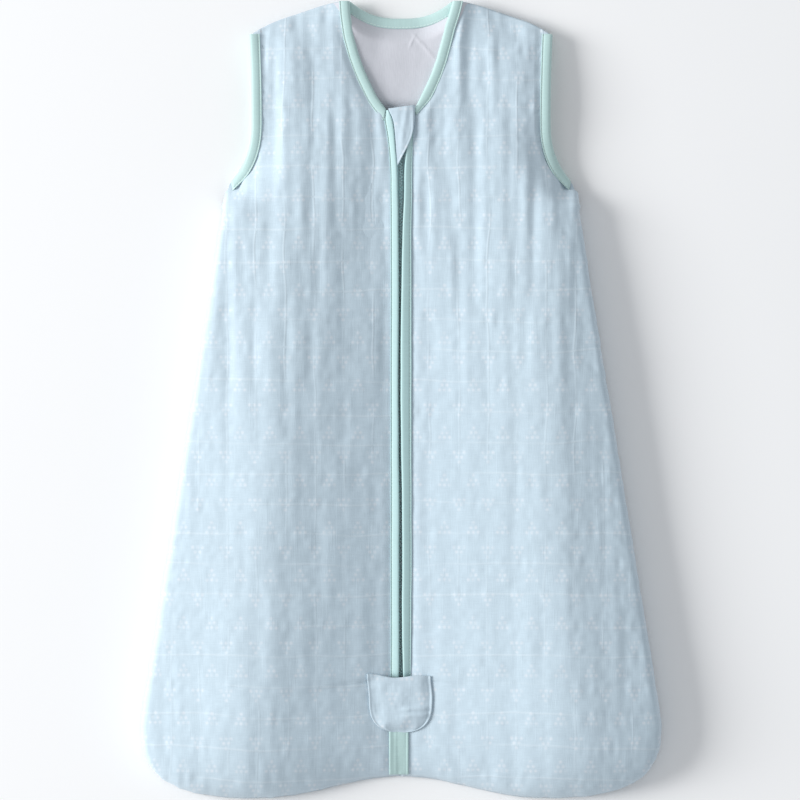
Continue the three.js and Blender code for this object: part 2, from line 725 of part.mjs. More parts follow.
const lowerTape = strip(tapeStations([lowerZipEndY, mouthY - clothGap]));
for (const [side, turned] of sides) {
  addPiece(`neck_binding_shoulder_${side}`, turned(strip(shoulderStations)), mint);
  addPiece(`armhole_binding_${side}`, turned(strip(armholeStations())), mint);
  addPiece(`zip_binding_lower_${side}`, turned(strip(lowerBindingStations)), mint);
  addPiece(`zip_tape_lower_${side}`, turned(lowerTape), tapeCloth);
}

// Solids joined into one
function toManifold(geometry) {
  const merged = mergedPositions(geometry);
  const vertProperties = new Float32Array(merged.getAttribute('position').array);
  const triVerts = new Uint32Array(merged.getIndex().array);
  return new wasm.Manifold(new wasm.Mesh({ numProp: 3, vertProperties, triVerts }));
}

function fromManifold(solid) {
  const { vertProperties, triVerts } = solid.getMesh();
  const geometry = new THREE.BufferGeometry();
  geometry.setAttribute('position', new THREE.BufferAttribute(vertProperties, 3));
  geometry.setIndex(new THREE.BufferAttribute(triVerts, 1));
  return geometry;
}

function block(width, length, height, x, y, z) {
  return new THREE.BoxGeometry(width, length, height).translate(x, y, z);
}

// Slider: two plates with flanges round the tapes, a post between them and a bridge for the pull
const sliderMiddleY = sliderTopY - clothGap - sliderLength / 2;
const plateInner = toothThickness / 2 + runningGap;
const plateOuter = plateInner + sliderPlate;
const pullHeight = zipBindingTop + runningGap + pullThickness / 2;
const bridgeTop = pullHeight + pullThickness / 2 + runningGap + bridgeBar;
function slider() {
  const parts = [];
  for (const sign of [-1, 1]) {
    const plateZ = zipHeight + sign * (plateInner + sliderPlate / 2);
    parts.push(block(2 * sliderHalfWidth, sliderLength, sliderPlate, 0, sliderMiddleY, plateZ));
    const flangeHeight = plateInner - tapeThickness / 2 - runningGap + sliderPlate;
    const flangeZ = zipHeight + sign * (plateOuter - flangeHeight / 2);
    for (const side of [-1, 1]) {
      const flangeX = side * (sliderHalfWidth - sliderFlange / 2);
      parts.push(block(sliderFlange, sliderLength, flangeHeight, flangeX, sliderMiddleY, flangeZ));
    }
    const legHeight = bridgeTop - zipHeight - plateInner;
    const legY = sliderMiddleY + sign * (bridgeSpan + bridgeBar) / 2;
    parts.push(block(bridgeWidth, bridgeBar, legHeight, 0, legY, bridgeTop - legHeight / 2));
  }
  const postY = sliderMiddleY - sliderLength / 2 + sliderPost;
  parts.push(block(sliderPost, 2 * sliderPost, 2 * plateInner + sliderPlate, 0, postY, zipHeight));
  const barLength = bridgeSpan + 2 * bridgeBar;
  parts.push(block(bridgeWidth, barLength, bridgeBar, 0, sliderMiddleY, bridgeTop - bridgeBar / 2));
  return fromManifold(parts.map(toManifold).reduce((joined, part) => joined.add(part)));
}
addPiece('zip_slider', slider(), plastic);

function pull() {
  const outline = new THREE.Shape();
  const half = pullWidth / 2;
  const start = sliderMiddleY + pullThickness / 2;
  const end = start - pullLength;
  outline.moveTo(-half, start);
  outline.lineTo(-half, end + half);
  outline.absarc(0, end + half, half, Math.PI, 2 * Math.PI, false);
  outline.lineTo(half, start);
  const eye = new THREE.Path();
  const eyeHalf = bridgeWidth / 2 + clothGap;
  eye.moveTo(-eyeHalf, start - pullThickness);
  eye.lineTo(eyeHalf, start - pullThickness);
  eye.lineTo(eyeHalf, start - pullThickness - pullEye);
  eye.lineTo(-eyeHalf, start - pullThickness - pullEye);
  outline.holes.push(eye);
  const options = { depth: pullThickness, bevelEnabled: false, curveSegments: 8 };
  return new THREE.ExtrudeGeometry(outline, options).translate(0, 0, pullHeight - pullThickness / 2);
}
addPiece('zip_pull', pull(), plastic);

// The parting end of the zip under the guard, and the stop at its closed end
const retainerY = zipEndY + clothGap + retainerLength / 2;
const memberWidth = toothRowWidth - clothGap / 2;
const memberX = (toothRowWidth + clothGap / 2) / 2;
const retainerHeight = toothThickness + 2 * bindingWall;
const member = (height, x) => block(memberWidth, retainerLength, height, x, retainerY, zipHeight);
addPiece('zip_retainer_box', member(retainerHeight, -memberX), plastic);
addPiece('zip_insert_pin', member(toothThickness, memberX), plastic);
const stopY = sliderMiddleY - sliderLength / 2 - runningGap - endStopLength / 2;
const endStop = block(2 * toothRowWidth, endStopLength, toothThickness, 0, stopY, zipHeight);
addPiece('zip_end_stop', endStop, plastic);

// The height of a sheet's top at a place, read from its grid
function topOf(grid, thickness, x, y) {
  for (let row = 0; row + 1 < grid.length; row += 1) {
    for (let column = 0; column + 1 < grid[0].length; column += 1) {
      const [low, high] = [grid[row], grid[row + 1]];
      const corners = [low[column], low[column + 1], high[column + 1], high[column]];
      for (const [i, j, k] of [[0, 1, 2], [0, 2, 3]]) {
        const flat = [corners[i], corners[j], corners[k]].map((p) => new THREE.Vector3(p.x, p.y, 0));
        const weights = new THREE.Vector3();
        if (!THREE.Triangle.getBarycoord(new THREE.Vector3(x, y, 0), ...flat, weights)) continue;
        if (Math.min(weights.x, weights.y, weights.z) < 0) continue;
        return weights.x * corners[i].z + weights.y * corners[j].z + weights.z * corners[k].z + thickness;
      }
    }
  }
  return rimHeight + thickness;
}
const frontTopAt = (x, y) => topOf(frontRight, panelThickness, Math.max(Math.abs(x), zipGap), y);

// The strip over the seam below the pocket
const pocketRowShares = [0, 0.16, 0.34, 0.52, 0.7, 0.84, 0.94];
const tailTopY = mix(mouthY, pocketBottomY, pocketRowShares[pocketRowShares.length - 1]) - clothGap;
const tailRows = [0, 0.25, 0.5, 0.75, 1].map((share) => mix(hemCentre + clothGap, tailTopY, share));
const tailHeightAt = (x, y) => frontTopAt(x, y) + pocketSeat;
const tailGrid = tailRows.map((y) => [-1, -0.5, 0, 0.5, 1].map((share) => {
  const x = share * tailHalfWidth;
  return new THREE.Vector3(x, y, tailHeightAt(x, y));
}));
addPiece('binding_tail', sheet(tailGrid, tailThickness), mint);

// The pocket that covers the slider: sewn down at its sides and foot, open at its mouth
const pocketColumnShares = [-1, -0.72, -0.4, -0.14, 0.14, 0.4, 0.72, 1];
const pocketFootPower = 3.4;
const pocketSlackShare = 0.45;
const pocketGrid = pocketRowShares.map((down) => pocketColumnShares.map((across) => {
  const x = across * pocketHalfWidth * Math.sqrt(1 - down ** pocketFootPower);
  const y = mix(mouthY, pocketBottomY, down) + pocketMouthDip * across ** 2 * (1 - down);
  const sewn = Math.max(Math.abs(across), down / pocketRowShares[pocketRowShares.length - 1]);
  const seated = frontTopAt(x, Math.min(y, mouthY - clothGap)) + pocketSeat;
  const slack = mix(bridgeTop + clothGap, seated, smooth((sewn - pocketSlackShare) * 2));
  return new THREE.Vector3(x, y, Math.max(seated, slack));
}));
addPiece('zip_pocket', sheet(pocketGrid, pocketClothThickness), muslin);

// The guard over the top of the zip, sewn along the left edge of the zip and free on the right
const guardTopY = zipTopY;
const guardLowY = guardTopY - guardLength;
const guardRowShares = [0, 0.18, 0.36, 0.55, 0.78, 1];
const guardSweepPower = 2.2;
const guardClear = bridgeTop + clothGap;
const guardGrid = guardRowShares.map((share) => {
  const y = mix(guardLowY, guardTopY, share);
  const sewnX = -mix(zipEdgeAt(guardLowY), zipEdgeAt(guardTopY), share) - guardSeam;
  const freeX = guardHalfWidth - (guardHalfWidth + guardTipOffset) * (1 - share) ** guardSweepPower;
  const foot = zipBindingTop + clothGap;
  const raised = mix(sewnX, Math.max(freeX, sewnX + guardSeam), 0.5);
  const raisedEnd = Math.max(freeX, raised);
  return [
    [sewnX, foot],
    [sewnX + guardSeam / 2, foot + clothGap],
    [Math.min(sewnX + guardSeam, raised), guardClear],
    [mix(raised, raisedEnd, 0.5), guardClear + guardRise],
    [Math.max(freeX, raised + clothGap), guardClear],
  ].map(([x, z]) => new THREE.Vector3(x, y, z));
});
addPiece('zip_guard', sheet(guardGrid, guardThickness), muslin);

export default bag;
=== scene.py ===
"""A baby sleeping bag of puckered muslin, lying closed on its back, built round its CAD frame.

Lengths in the making functions are millimetres, and a mesh is written in metres.
"""

import math

import bpy
import numpy as np
from bpy.props import FloatProperty, FloatVectorProperty, PointerProperty
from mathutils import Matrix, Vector
from mathutils.bvhtree import BVHTree


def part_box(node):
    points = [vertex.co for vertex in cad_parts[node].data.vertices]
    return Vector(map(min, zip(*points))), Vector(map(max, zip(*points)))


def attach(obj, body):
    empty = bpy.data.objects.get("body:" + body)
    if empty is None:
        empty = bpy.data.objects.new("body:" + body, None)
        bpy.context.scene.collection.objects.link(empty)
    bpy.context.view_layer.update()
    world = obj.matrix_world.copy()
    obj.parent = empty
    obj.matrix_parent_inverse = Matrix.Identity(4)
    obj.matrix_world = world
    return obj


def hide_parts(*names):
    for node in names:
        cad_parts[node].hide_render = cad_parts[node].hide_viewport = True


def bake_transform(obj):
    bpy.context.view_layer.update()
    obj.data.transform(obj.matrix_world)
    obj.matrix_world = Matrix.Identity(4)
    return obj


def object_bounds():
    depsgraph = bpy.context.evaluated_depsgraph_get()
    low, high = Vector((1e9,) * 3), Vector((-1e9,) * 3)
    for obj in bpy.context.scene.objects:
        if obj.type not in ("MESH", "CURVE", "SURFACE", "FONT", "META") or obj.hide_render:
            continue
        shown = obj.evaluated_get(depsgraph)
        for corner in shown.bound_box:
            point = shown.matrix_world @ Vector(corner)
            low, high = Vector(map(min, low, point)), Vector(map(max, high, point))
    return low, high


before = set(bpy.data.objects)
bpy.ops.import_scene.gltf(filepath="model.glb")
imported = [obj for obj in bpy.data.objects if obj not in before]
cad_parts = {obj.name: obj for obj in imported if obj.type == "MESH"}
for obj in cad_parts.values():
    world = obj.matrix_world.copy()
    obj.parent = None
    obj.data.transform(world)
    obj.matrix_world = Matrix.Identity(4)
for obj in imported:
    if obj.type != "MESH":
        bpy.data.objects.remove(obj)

bl_info = {
    "name": "Baby sleeping bag",
    "version": (1, 0, 0),
    "blender": (4, 5, 0),
    "location": "View3D > Sidebar > Sleeping bag",
    "description": "Builds a quilted muslin sleeping bag with bound edges and an inverted zip",
    "category": "Add Mesh",
}

MM = 0.001
CAD_LOW, CAD_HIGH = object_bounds()

# Outline, millimetres, worked out from the frame where it shows it
TOP = CAD_HIGH.y / MM
FOOT_HALF = CAD_HIGH.x / MM
HEM_LOW = CAD_LOW.y / MM
FOOT_RISE = 68
LOBE_X = 126
HEM_ARCH = 19
HEM_CENTRE = HEM_LOW + HEM_ARCH
HEM_CORNER_POWER = 2.9
WIDEST_Y = HEM_LOW + FOOT_RISE
ARMHOLE_DEPTH = 164
UNDERARM_Y = TOP - ARMHOLE_DEPTH
UNDERARM_X = 155
ARMHOLE_X = 134
ARMHOLE_CURVE = 57
ARMHOLE_POWER = 2.6
TIP_X = 136
TIP_Y = TOP - 31
SHOULDER_BOW = 5
PROUD = 1.1
NECK_X = 46
NECK_Y = TOP - PROUD
BACK_NECK_DEPTH = 15
BACK_NECK_Y = NECK_Y - BACK_NECK_DEPTH
ZIP_TOP_Y = TOP - 97.5
RETAINER_Y = TOP - 105.2
MOUTH_Y = TOP - 607
SEAM_CLOSED_Y = MOUTH_Y - 35
CLOTH_LENGTH = NECK_Y - HEM_CENTRE

# Heights and thicknesses, millimetres
RIM = 2.1
PANEL = 1.8
LINING = 0.8
CLEAR = 0.3
EDGE_LIFT = 1.2
ZIP_CLOTH = 18.2
NECK_CLOTH = 13.8
ARM_CLOTH = 7.9
SHOULDER_RAISE = 6
RAISE_REACH = 86
RAISE_START_X = 14
ARMHOLE_GAPE = 8
GAP_HALF = 1.6
SPLAY_REACH = 94
STRIP_WIDTH = 7.6
BINDING_WIDTH = 8.4
CREST_SHARES = {-1: (0.57, 0.63), 1: (0.65, 0.73)}
OUTER_FALLS = {-1: 0.42, 1: 0.22}
RISE_POWERS = {-1: 1.1, 1: 1.0}
RIDGE_REACH = 0.1
RIDGE_WEIGHTS = [(-1, 0.08), (-0.66, 0.17), (-0.33, 0.17), (0, 0.16), (0.33, 0.17), (0.66, 0.17), (1, 0.08)]
FAR_OFF = 400
SIDES = (("left", -1), ("right", 1))


# Sums on arrays

def mix(a, b, share):
    return a + (b - a) * share


def ease(share):
    share = np.clip(share, 0, 1)
    return share * share * (3 - 2 * share)


def bell(distance, width):
    """1 at no distance, and fading to nothing over about twice the width."""
    return np.exp(-(distance / width) ** 2)


def hump(share, power, root):
    """Rises fast from 0 at 0 and is level at 1."""
    return np.clip(1 - (1 - np.clip(share, 0, 1)) ** power, 0, 1) ** root


def ripple(seed, across, along):
    """Smooth seeded noise from -1 to 1, one knot to a unit each way."""
    table = np.random.default_rng(seed).uniform(-1, 1, (97, 97))
    i, j = np.floor(across).astype(int), np.floor(along).astype(int)
    s, t = ease(across - i), ease(along - j)
    low = mix(table[i % 97, j % 97], table[(i + 1) % 97, j % 97], s)
    high = mix(table[i % 97, (j + 1) % 97], table[(i + 1) % 97, (j + 1) % 97], s)
    return mix(low, high, t)


def points_at(*parts):
    """One array of points or places from their parts, which may be single numbers."""
    return np.stack(np.broadcast_arrays(*parts), axis=-1)


def raised(points, height):
    return points + points_at(0.0, 0.0, height)


def unit(directions):
    return directions / np.linalg.norm(directions, axis=-1, keepdims=True)


def run_along(points):
    """How far along its line each point of the second last axis lies."""
    steps = np.linalg.norm(np.diff(points, axis=-2), axis=-1)
    return np.concatenate([np.zeros((*steps.shape[:-1], 1)), np.cumsum(steps, axis=-1)], axis=-1)


def smoothed(grid, passes):
    """Averages each inner value of a grid with its four neighbours."""
    for _ in range(passes):
        beside = grid[:-2, 1:-1] + grid[2:, 1:-1] + grid[1:-1, :-2] + grid[1:-1, 2:]
        grid[1:-1, 1:-1] = (grid[1:-1, 1:-1] * 2 + beside) / 6
    return grid


# The bag's outline

def hem_corner(angle):
    power = 2 / HEM_CORNER_POWER
    x = LOBE_X + (FOOT_HALF - LOBE_X) * np.clip(np.cos(angle), 0, 1) ** power
    return x, WIDEST_Y - FOOT_RISE * np.clip(np.sin(angle), 0, 1) ** power


def hem_line(share, start_x):
    straight = 0.6
    x = mix(start_x, LOBE_X, share / straight)
    y = HEM_LOW + HEM_ARCH * (0.5 + 0.5 * np.cos(math.pi * x / LOBE_X))
    turn = np.clip((share - straight) / (1 - straight), 0, 1)
    corner_x, corner_y = hem_corner(math.pi / 2 * (1 - turn / 2))
    round_it = share > straight
    return points_at(np.where(round_it, corner_x, x), np.where(round_it, corner_y, y))


def armhole_x(y):
    curve = np.clip((y - UNDERARM_Y) / ARMHOLE_CURVE, 0, 1)
    upper = np.clip((y - UNDERARM_Y - ARMHOLE_CURVE) / (TIP_Y - UNDERARM_Y - ARMHOLE_CURVE), 0, 1)
    curved = ARMHOLE_X + (UNDERARM_X - ARMHOLE_X) * (1 - curve) ** ARMHOLE_POWER
    return curved + (TIP_X - ARMHOLE_X) * upper ** 2 - PROUD


def share_at(y):
    return (y - HEM_CENTRE) / CLOTH_LENGTH


WIDEST_SHARE = share_at(SEAM_CLOSED_Y)
UNDERARM_SHARE = share_at(UNDERARM_Y)


def side_line(share):
    corner_x, corner_y = hem_corner(math.pi / 4 * (1 - np.clip(share / WIDEST_SHARE, 0, 1)))
    up = (share - WIDEST_SHARE) / (UNDERARM_SHARE - WIDEST_SHARE)
    x = np.where(share < WIDEST_SHARE, corner_x, mix(FOOT_HALF, UNDERARM_X - PROUD, up))
    y = np.where(share < WIDEST_SHARE, corner_y, mix(WIDEST_Y, UNDERARM_Y, up))
    arm_y = mix(UNDERARM_Y, TIP_Y, (share - UNDERARM_SHARE) / (1 - UNDERARM_SHARE))
    above = share > UNDERARM_SHARE
    return points_at(np.where(above, armhole_x(arm_y), x), np.where(above, arm_y, y))


def shoulder_line(share, start_x, start_y):
    bow = SHOULDER_BOW * (1 - (2 * share - 1) ** 4)
    return points_at(mix(start_x, TIP_X - PROUD, share), mix(start_y, TIP_Y, share) + bow)


def patch(hem, shoulder, inner, side, across, along):
    """Points between four edges of a piece of cloth."""
    a, u = across[None, :, None], along[:, None, None]
    edges = (1 - u) * hem[None] + u * shoulder[None] + (1 - a) * inner[:, None] + a * side[:, None]
    low = (1 - a) * hem[0] + a * hem[-1]
    high = (1 - a) * shoulder[0] + a * shoulder[-1]
    return edges - (1 - u) * low - u * high


def near_armhole(along):
    reach = 25 / CLOTH_LENGTH
    return ease((along - UNDERARM_SHARE) / reach + 1)


def raise_at(x, y):
    across = ease((np.abs(x) - RAISE_START_X) / (NECK_X - RAISE_START_X))
    return SHOULDER_RAISE * across * ease((y - TOP + RAISE_REACH) / RAISE_REACH)


# The edges of each strip, from the pocket up: (y, how far it lies from the middle of the zip)
STRIP_INNER = {
    -1: [(-250, 1.6), (-183, 1.7), (-111, 1.4), (-48, 2.0), (0, 2.3), (90, 2.1), (170, 2.1), (196, 2.9),
         (209, 3.5), (222, 4.6), (236, 5.6), (246, 6.6), (251, 7.8), (255, 9.5), (259.5, 12.2)],
    1: [(-250, 1.8), (-217, 1.0), (-91, 0.9), (-46, 0.2), (0, -0.4), (44, -0.4), (89, 0.2), (125, 0.9),
        (152, 1.6), (179, 2.6), (204, 3.2), (222, 4.5), (236, 6.0), (250, 8.2), (259.5, 11.0)],
}
STRIP_OUTER = {
    -1: [(-250, 9.4), (170, 9.4), (200, 9.6), (209, 10.0), (222, 10.8), (235, 12.2), (247, 14.6),
         (253, 15.2), (259.5, 13.2)],
    1: [(-250, 8.4), (-225, 8.9), (-190, 9.4), (152, 9.4), (204, 10.0), (222, 10.4), (240, 10.9),
        (259.5, 11.3)],
}


def soft_line(places, y):
    """Reads a line of places at y, with its corners rounded over a few millimetres."""
    at, x = np.array(places).T
    return sum(np.interp(y + step, at, x) for step in (-3, -1.5, 0, 1.5, 3)) / 5


def zip_edge(sign, y):
    return soft_line(STRIP_INNER[sign], y)


def covered(sign, y, above):
    """How far in from its edge the cloth lies under the strip, or above the zip under the neck binding."""
    strip = np.maximum(soft_line(STRIP_OUTER[sign], y) - zip_edge(sign, y) - PROUD, 1)
    return mix(strip, above, ease((y - ZIP_TOP_Y + 7) / 8))


# The free edge of the front neck on each side, from the zip to the shoulder: (x, y).
# Beside the zip its binding leans and narrows
NECK_LINES = {
    -1: [(13.2, 259.5), (17.2, 264.5), (21.4, 270.5), (25.2, 278), (29, 286), (33.4, 296), (38, 309),
         (42.6, 326), (45.2, 344), (46, 355.9)],
    1: [(11.4, 259.5), (17.4, 270.5), (22.6, 281), (27.4, 292), (31.6, 304), (35.4, 318), (39.4, 334),
        (43.6, 347), (46, 355.9)],
}
NECK_SLANTS = {-1: 0.78, 1: 0.6}
NECK_END_WIDTHS = {-1: 0.95, 1: 0.52}
NECK_END_RUN = 18


def neck_edge(sign, y):
    places = np.array(NECK_LINES[sign])
    fine = np.linspace(0, len(places) - 1, 200)
    k = np.arange(len(places))
    weights = bell(fine[:, None] - k[None], 0.55)
    soft = (weights[:, :, None] * places[None]).sum(axis=1) / weights.sum(axis=1)[:, None]
    soft[0], soft[-1] = places[0], places[-1]
    return np.interp(y, soft[:, 1], soft[:, 0])


def inner_line(sign, share):
    y = mix(HEM_CENTRE, NECK_Y, share)
    seam = np.clip((y - SEAM_CLOSED_Y) / (MOUTH_Y - SEAM_CLOSED_Y), 0, 1)
    beside = np.where(y < MOUTH_Y, mix(0.15, GAP_HALF + PROUD, seam), zip_edge(sign, y) + PROUD)
    return points_at(np.where(y > ZIP_TOP_Y, neck_edge(sign, y) + PROUD * (y < NECK_Y), beside), y)


# The bag's heights

def crest_at(along):
    """The height of the ridge of one half of the front."""
    shape = bpy.context.scene.bag_shape
    foot_rise, shoulder_fall = 82, 60
    foot = hump(along * CLOTH_LENGTH / foot_rise, power=2.3, root=0.6)
    places = [0, 0.12, 0.34, 0.56, UNDERARM_SHARE, 0.88, 1]
    heights = [shape.foot_crest, shape.foot_crest, 0.9 * shape.foot_crest, shape.waist_crest,
               shape.underarm_crest, 0.82 * shape.underarm_crest, 0.78 * shape.underarm_crest]
    wide = np.interp(along, places, np.array(heights) / MM)
    count = max(3, len(along) // 9) | 1
    kernel = np.hanning(count + 2)[1:-1]
    padded = np.pad(wide, count // 2, mode="edge")
    long = np.convolve(padded, kernel / kernel.sum(), mode="valid")
    shoulder = hump((1 - along) * CLOTH_LENGTH / shoulder_fall, power=2, root=0.6)
    return RIM + (long - RIM) * foot * shoulder


def front_base(sign, rows, columns):
    """The underside of one half of the front, at x over zero, with shares and distances."""
    # The rows are a little closer at both ends, and the columns towards the side
    t = np.linspace(0, 1, rows)
    along = t - 0.035 * np.sin(2 * math.pi * t) / math.pi
    s = np.linspace(0, 1, columns)
    across = mix(s, 1 - (1 - s) ** 2, 0.66)
    inner, side = inner_line(sign, along), side_line(along)
    start = neck_edge(sign, NECK_Y)
    plan = patch(hem_line(across, 0.15), shoulder_line(across, start, NECK_Y), inner, side, across, along)
    x, y = plan[..., 0], plan[..., 1]
    width = (side[:, 0] - inner[:, 0])[:, None]
    from_zip = x - inner[:, :1]
    share = np.clip(from_zip / width, 0, 1)

    # The heights of its two edges
    zip_rise = 56
    zip_height = mix(RIM, ZIP_CLOTH, hump((inner[:, 1] - HEM_CENTRE) / zip_rise, power=2, root=0.8))
    zip_height = mix(zip_height, NECK_CLOTH, np.clip((inner[:, 1] - ZIP_TOP_Y) / (NECK_Y - ZIP_TOP_Y), 0, 1))
    up = np.clip((along - UNDERARM_SHARE) / (1 - UNDERARM_SHARE), 0, 1)
    tip_height = raise_at(side[-1, 0], side[-1, 1]) + ARM_CLOTH
    arm_height = mix(ARM_CLOTH, tip_height, up) + ARMHOLE_GAPE * np.sin(math.pi * up)
    side_height = mix(RIM, arm_height, near_armhole(along))

    # The swell between them, flat under the strip and highest at its crest
    base = mix(zip_height[:, None], side_height[:, None], share)
    crest = crest_at(along)
    crest_share = mix(*CREST_SHARES[sign], np.clip((along - 0.2) / 0.45, 0, 1))
    swell = np.maximum(0, crest - mix(zip_height, side_height, crest_share))[:, None]
    crest_share = crest_share[:, None]
    beside_arm = near_armhole(along)[:, None]
    fall_share = mix(1, 0.4, ease((along - 0.3) / 0.45))[:, None]
    under_strip = covered(sign, inner[:, 1], STRIP_WIDTH - PROUD)
    flat = np.where(inner[:, 1] > MOUTH_Y, under_strip, mix(2, STRIP_WIDTH, along / WIDEST_SHARE))[:, None]
    flat_share = flat / width

    def lobe_at(share):
        rise_share = np.clip((share - flat_share) / (crest_share - flat_share), 0, 1)
        rise = 1 - (1 - rise_share) ** RISE_POWERS[sign]
        outer_share = np.clip((share - crest_share) / (1 - crest_share), 0, 1)
        full = 1 - OUTER_FALLS[sign] * fall_share * outer_share ** 1.15
        bound = ease(((1 - share) * width - 6) / 30)
        return np.where(share < crest_share, rise, full) * mix(1, bound, beside_arm)

    reach = np.minimum(RIDGE_REACH, 0.8 * np.minimum(np.maximum(share - flat_share, 0), 1 - share))
    lobe = sum(weight * lobe_at(share + step * reach) for step, weight in RIDGE_WEIGHTS)
    roll = np.clip(1 - share ** 170, 0, 1) ** 0.5
    z = base + swell * lobe * mix(roll, 1, beside_arm)

    # The last rows settle onto the shoulder seam, and no part lies lower than the back
    ends = mix(NECK_CLOTH, tip_height, across)
    seated = raise_at(x[-1], y[-1]) + RIM
    shoulder = mix(ends, seated, 1 - (2 * across - 1) ** 2)
    z = z + (shoulder - z[-1])[None] * np.clip((along - 0.9) / 0.1, 0, 1)[:, None] ** 2

    from_hem = np.minimum(along, 1 - along)[:, None] * CLOTH_LENGTH
    from_side = (1 - share) * width + beside_arm * width
    inset = np.minimum(from_hem, from_side)
    z = np.maximum(z, raise_at(x, y) + RIM + 2.2 * np.clip(inset / 8, 0, 1))
    return {"points": points_at(x, y, z), "along": along,
            "from_zip": from_zip, "from_side": (1 - share) * width,
            "bound_side": beside_arm, "from_shoulder": (1 - along)[:, None] * CLOTH_LENGTH}


def cloth_places(points, first):
    """Where each point lies on the flat cloth: across from the middle, and along from the hem."""
    return points_at(first[:, None] + run_along(points), points[..., 1] - HEM_CENTRE)


def pane_places(places, seed):
    """Counts of the quilting panes across and along, with a hand-made wander."""
    look = bpy.context.scene.bag_cloth
    u, v = places[..., 0], places[..., 1]
    wander = 1.7 * ripple(seed, u / 90 + 3, v / 42) + 0.8 * ripple(seed + 1, u / 30, v / 19)
    drift = 1.5 * ripple(seed + 2, u / 44, v / 90 + 5) + 0.8 * ripple(seed + 3, u / 21, v / 33)
    drift += 3.4 * ripple(seed + 30, u / 105, v / 64 + 2)
    return points_at((u + wander) / (look.pane_width / MM), (v + drift) / (look.pane_length / MM))


def muslin_relief(places, panes, seed, upper):
    """Height in millimetres of the puckered outer face. upper is 0 at the foot and 1 at the chest."""
    look = bpy.context.scene.bag_cloth
    u, v = places[..., 0], places[..., 1]
    across, along = panes[..., 0] % 1, panes[..., 1] % 1
    near_u, near_v = np.minimum(across, 1 - across), np.minimum(along, 1 - along)
    puff = np.sqrt(np.sin(math.pi * across) * np.sin(math.pi * along) + 1e-6)
    pinch = bell(near_u, 0.035) * (0.6 + 0.4 * ripple(seed + 4, u / 26, v / 11))
    pinch_v = bell(near_v, 0.035) * (0.6 + 0.4 * ripple(seed + 5, u / 11, v / 26))
    crinkle_u = ripple(seed + 6, u / 4.6, v / 24) * bell(near_v, 0.22)
    crinkle_v = ripple(seed + 7, u / 24, v / 4.6) * bell(near_u, 0.22)
    pleat = ripple(seed + 8, u / 13, v / 120) + 0.55 * ripple(seed + 9, u / 7.5, v / 64)
    soft = ripple(seed + 10, u / 34, v / 30)
    depth = look.pucker_depth / MM
    relief = depth * (0.75 * puff + 0.42 * (crinkle_u + crinkle_v) + 0.35 * pinch_v + 0.25 * pinch)
    relief += 0.35 * depth * ripple(seed + 11, u / 6, v / 6) + 0.5 * depth * soft
    return relief + look.pleat_depth / MM * pleat * mix(0.22, 1, upper)


# Meshes

def face_normals(points):
    """Unit normals of a grid of points."""
    across = np.gradient(points, axis=1)
    along = np.gradient(points, axis=0)
    normal = np.cross(across, along)
    return normal / np.maximum(np.linalg.norm(normal, axis=2, keepdims=True), 1e-9)


def new_piece(name, points, faces, material, fields=None):
    """A mesh object from points in millimetres, with its finish and its point fields."""
    mesh = bpy.data.meshes.new(name)
    mesh.from_pydata((np.asarray(points) * MM).tolist(), [], [list(map(int, f)) for f in faces])
    mesh.materials.append(material)
    for field, values in (fields or {}).items():
        flat = np.zeros((len(points), 3), np.float32)
        flat[:, :values.shape[1]] = values
        mesh.attributes.new(field, "FLOAT_VECTOR", "POINT").data.foreach_set("vector", flat.ravel())
    mesh.polygons.foreach_set("use_smooth", [True] * len(mesh.polygons))
    mesh.validate()
    mesh.update()
    piece = bpy.data.objects.new(name, mesh)
    bpy.context.scene.collection.objects.link(piece)
    return piece


def grid_faces(rows, columns, start=0, flip=False):
    k = np.arange(rows * columns).reshape(rows, columns) + start
    quads = np.stack([k[:-1, :-1], k[:-1, 1:], k[1:, 1:], k[1:, :-1]], axis=-1).reshape(-1, 4)
    return quads[:, ::-1] if flip else quads


def cloth_sheet(name, under, over, material, places, panes=None, mirror=False):
    """A closed piece of cloth between two grids of points."""
    rows, columns = under.shape[:2]
    points = np.concatenate([over.reshape(-1, 3), under.reshape(-1, 3)])
    count = rows * columns
    k = np.arange(count).reshape(rows, columns)
    rim = np.concatenate([k[0, :-1], k[:-1, -1], k[-1, :0:-1], k[:0:-1, 0]])
    after = np.roll(rim, -1)
    wall = np.stack([rim, rim + count, after + count, after], axis=-1)
    faces = np.concatenate([grid_faces(rows, columns), grid_faces(rows, columns, count, True), wall])
    if mirror:
        points = points * (-1, 1, 1)
        faces = faces[:, ::-1]
    fields = {"cloth": places * MM}
    if panes is not None:
        fields["panes"] = panes
    sign = -1 if mirror else 1
    for field, values in fields.items():
        flat = values.reshape(-1, 2) * (sign, 1)
        fields[field] = np.concatenate([flat, flat])
    return new_piece(name, points, faces, material, fields)


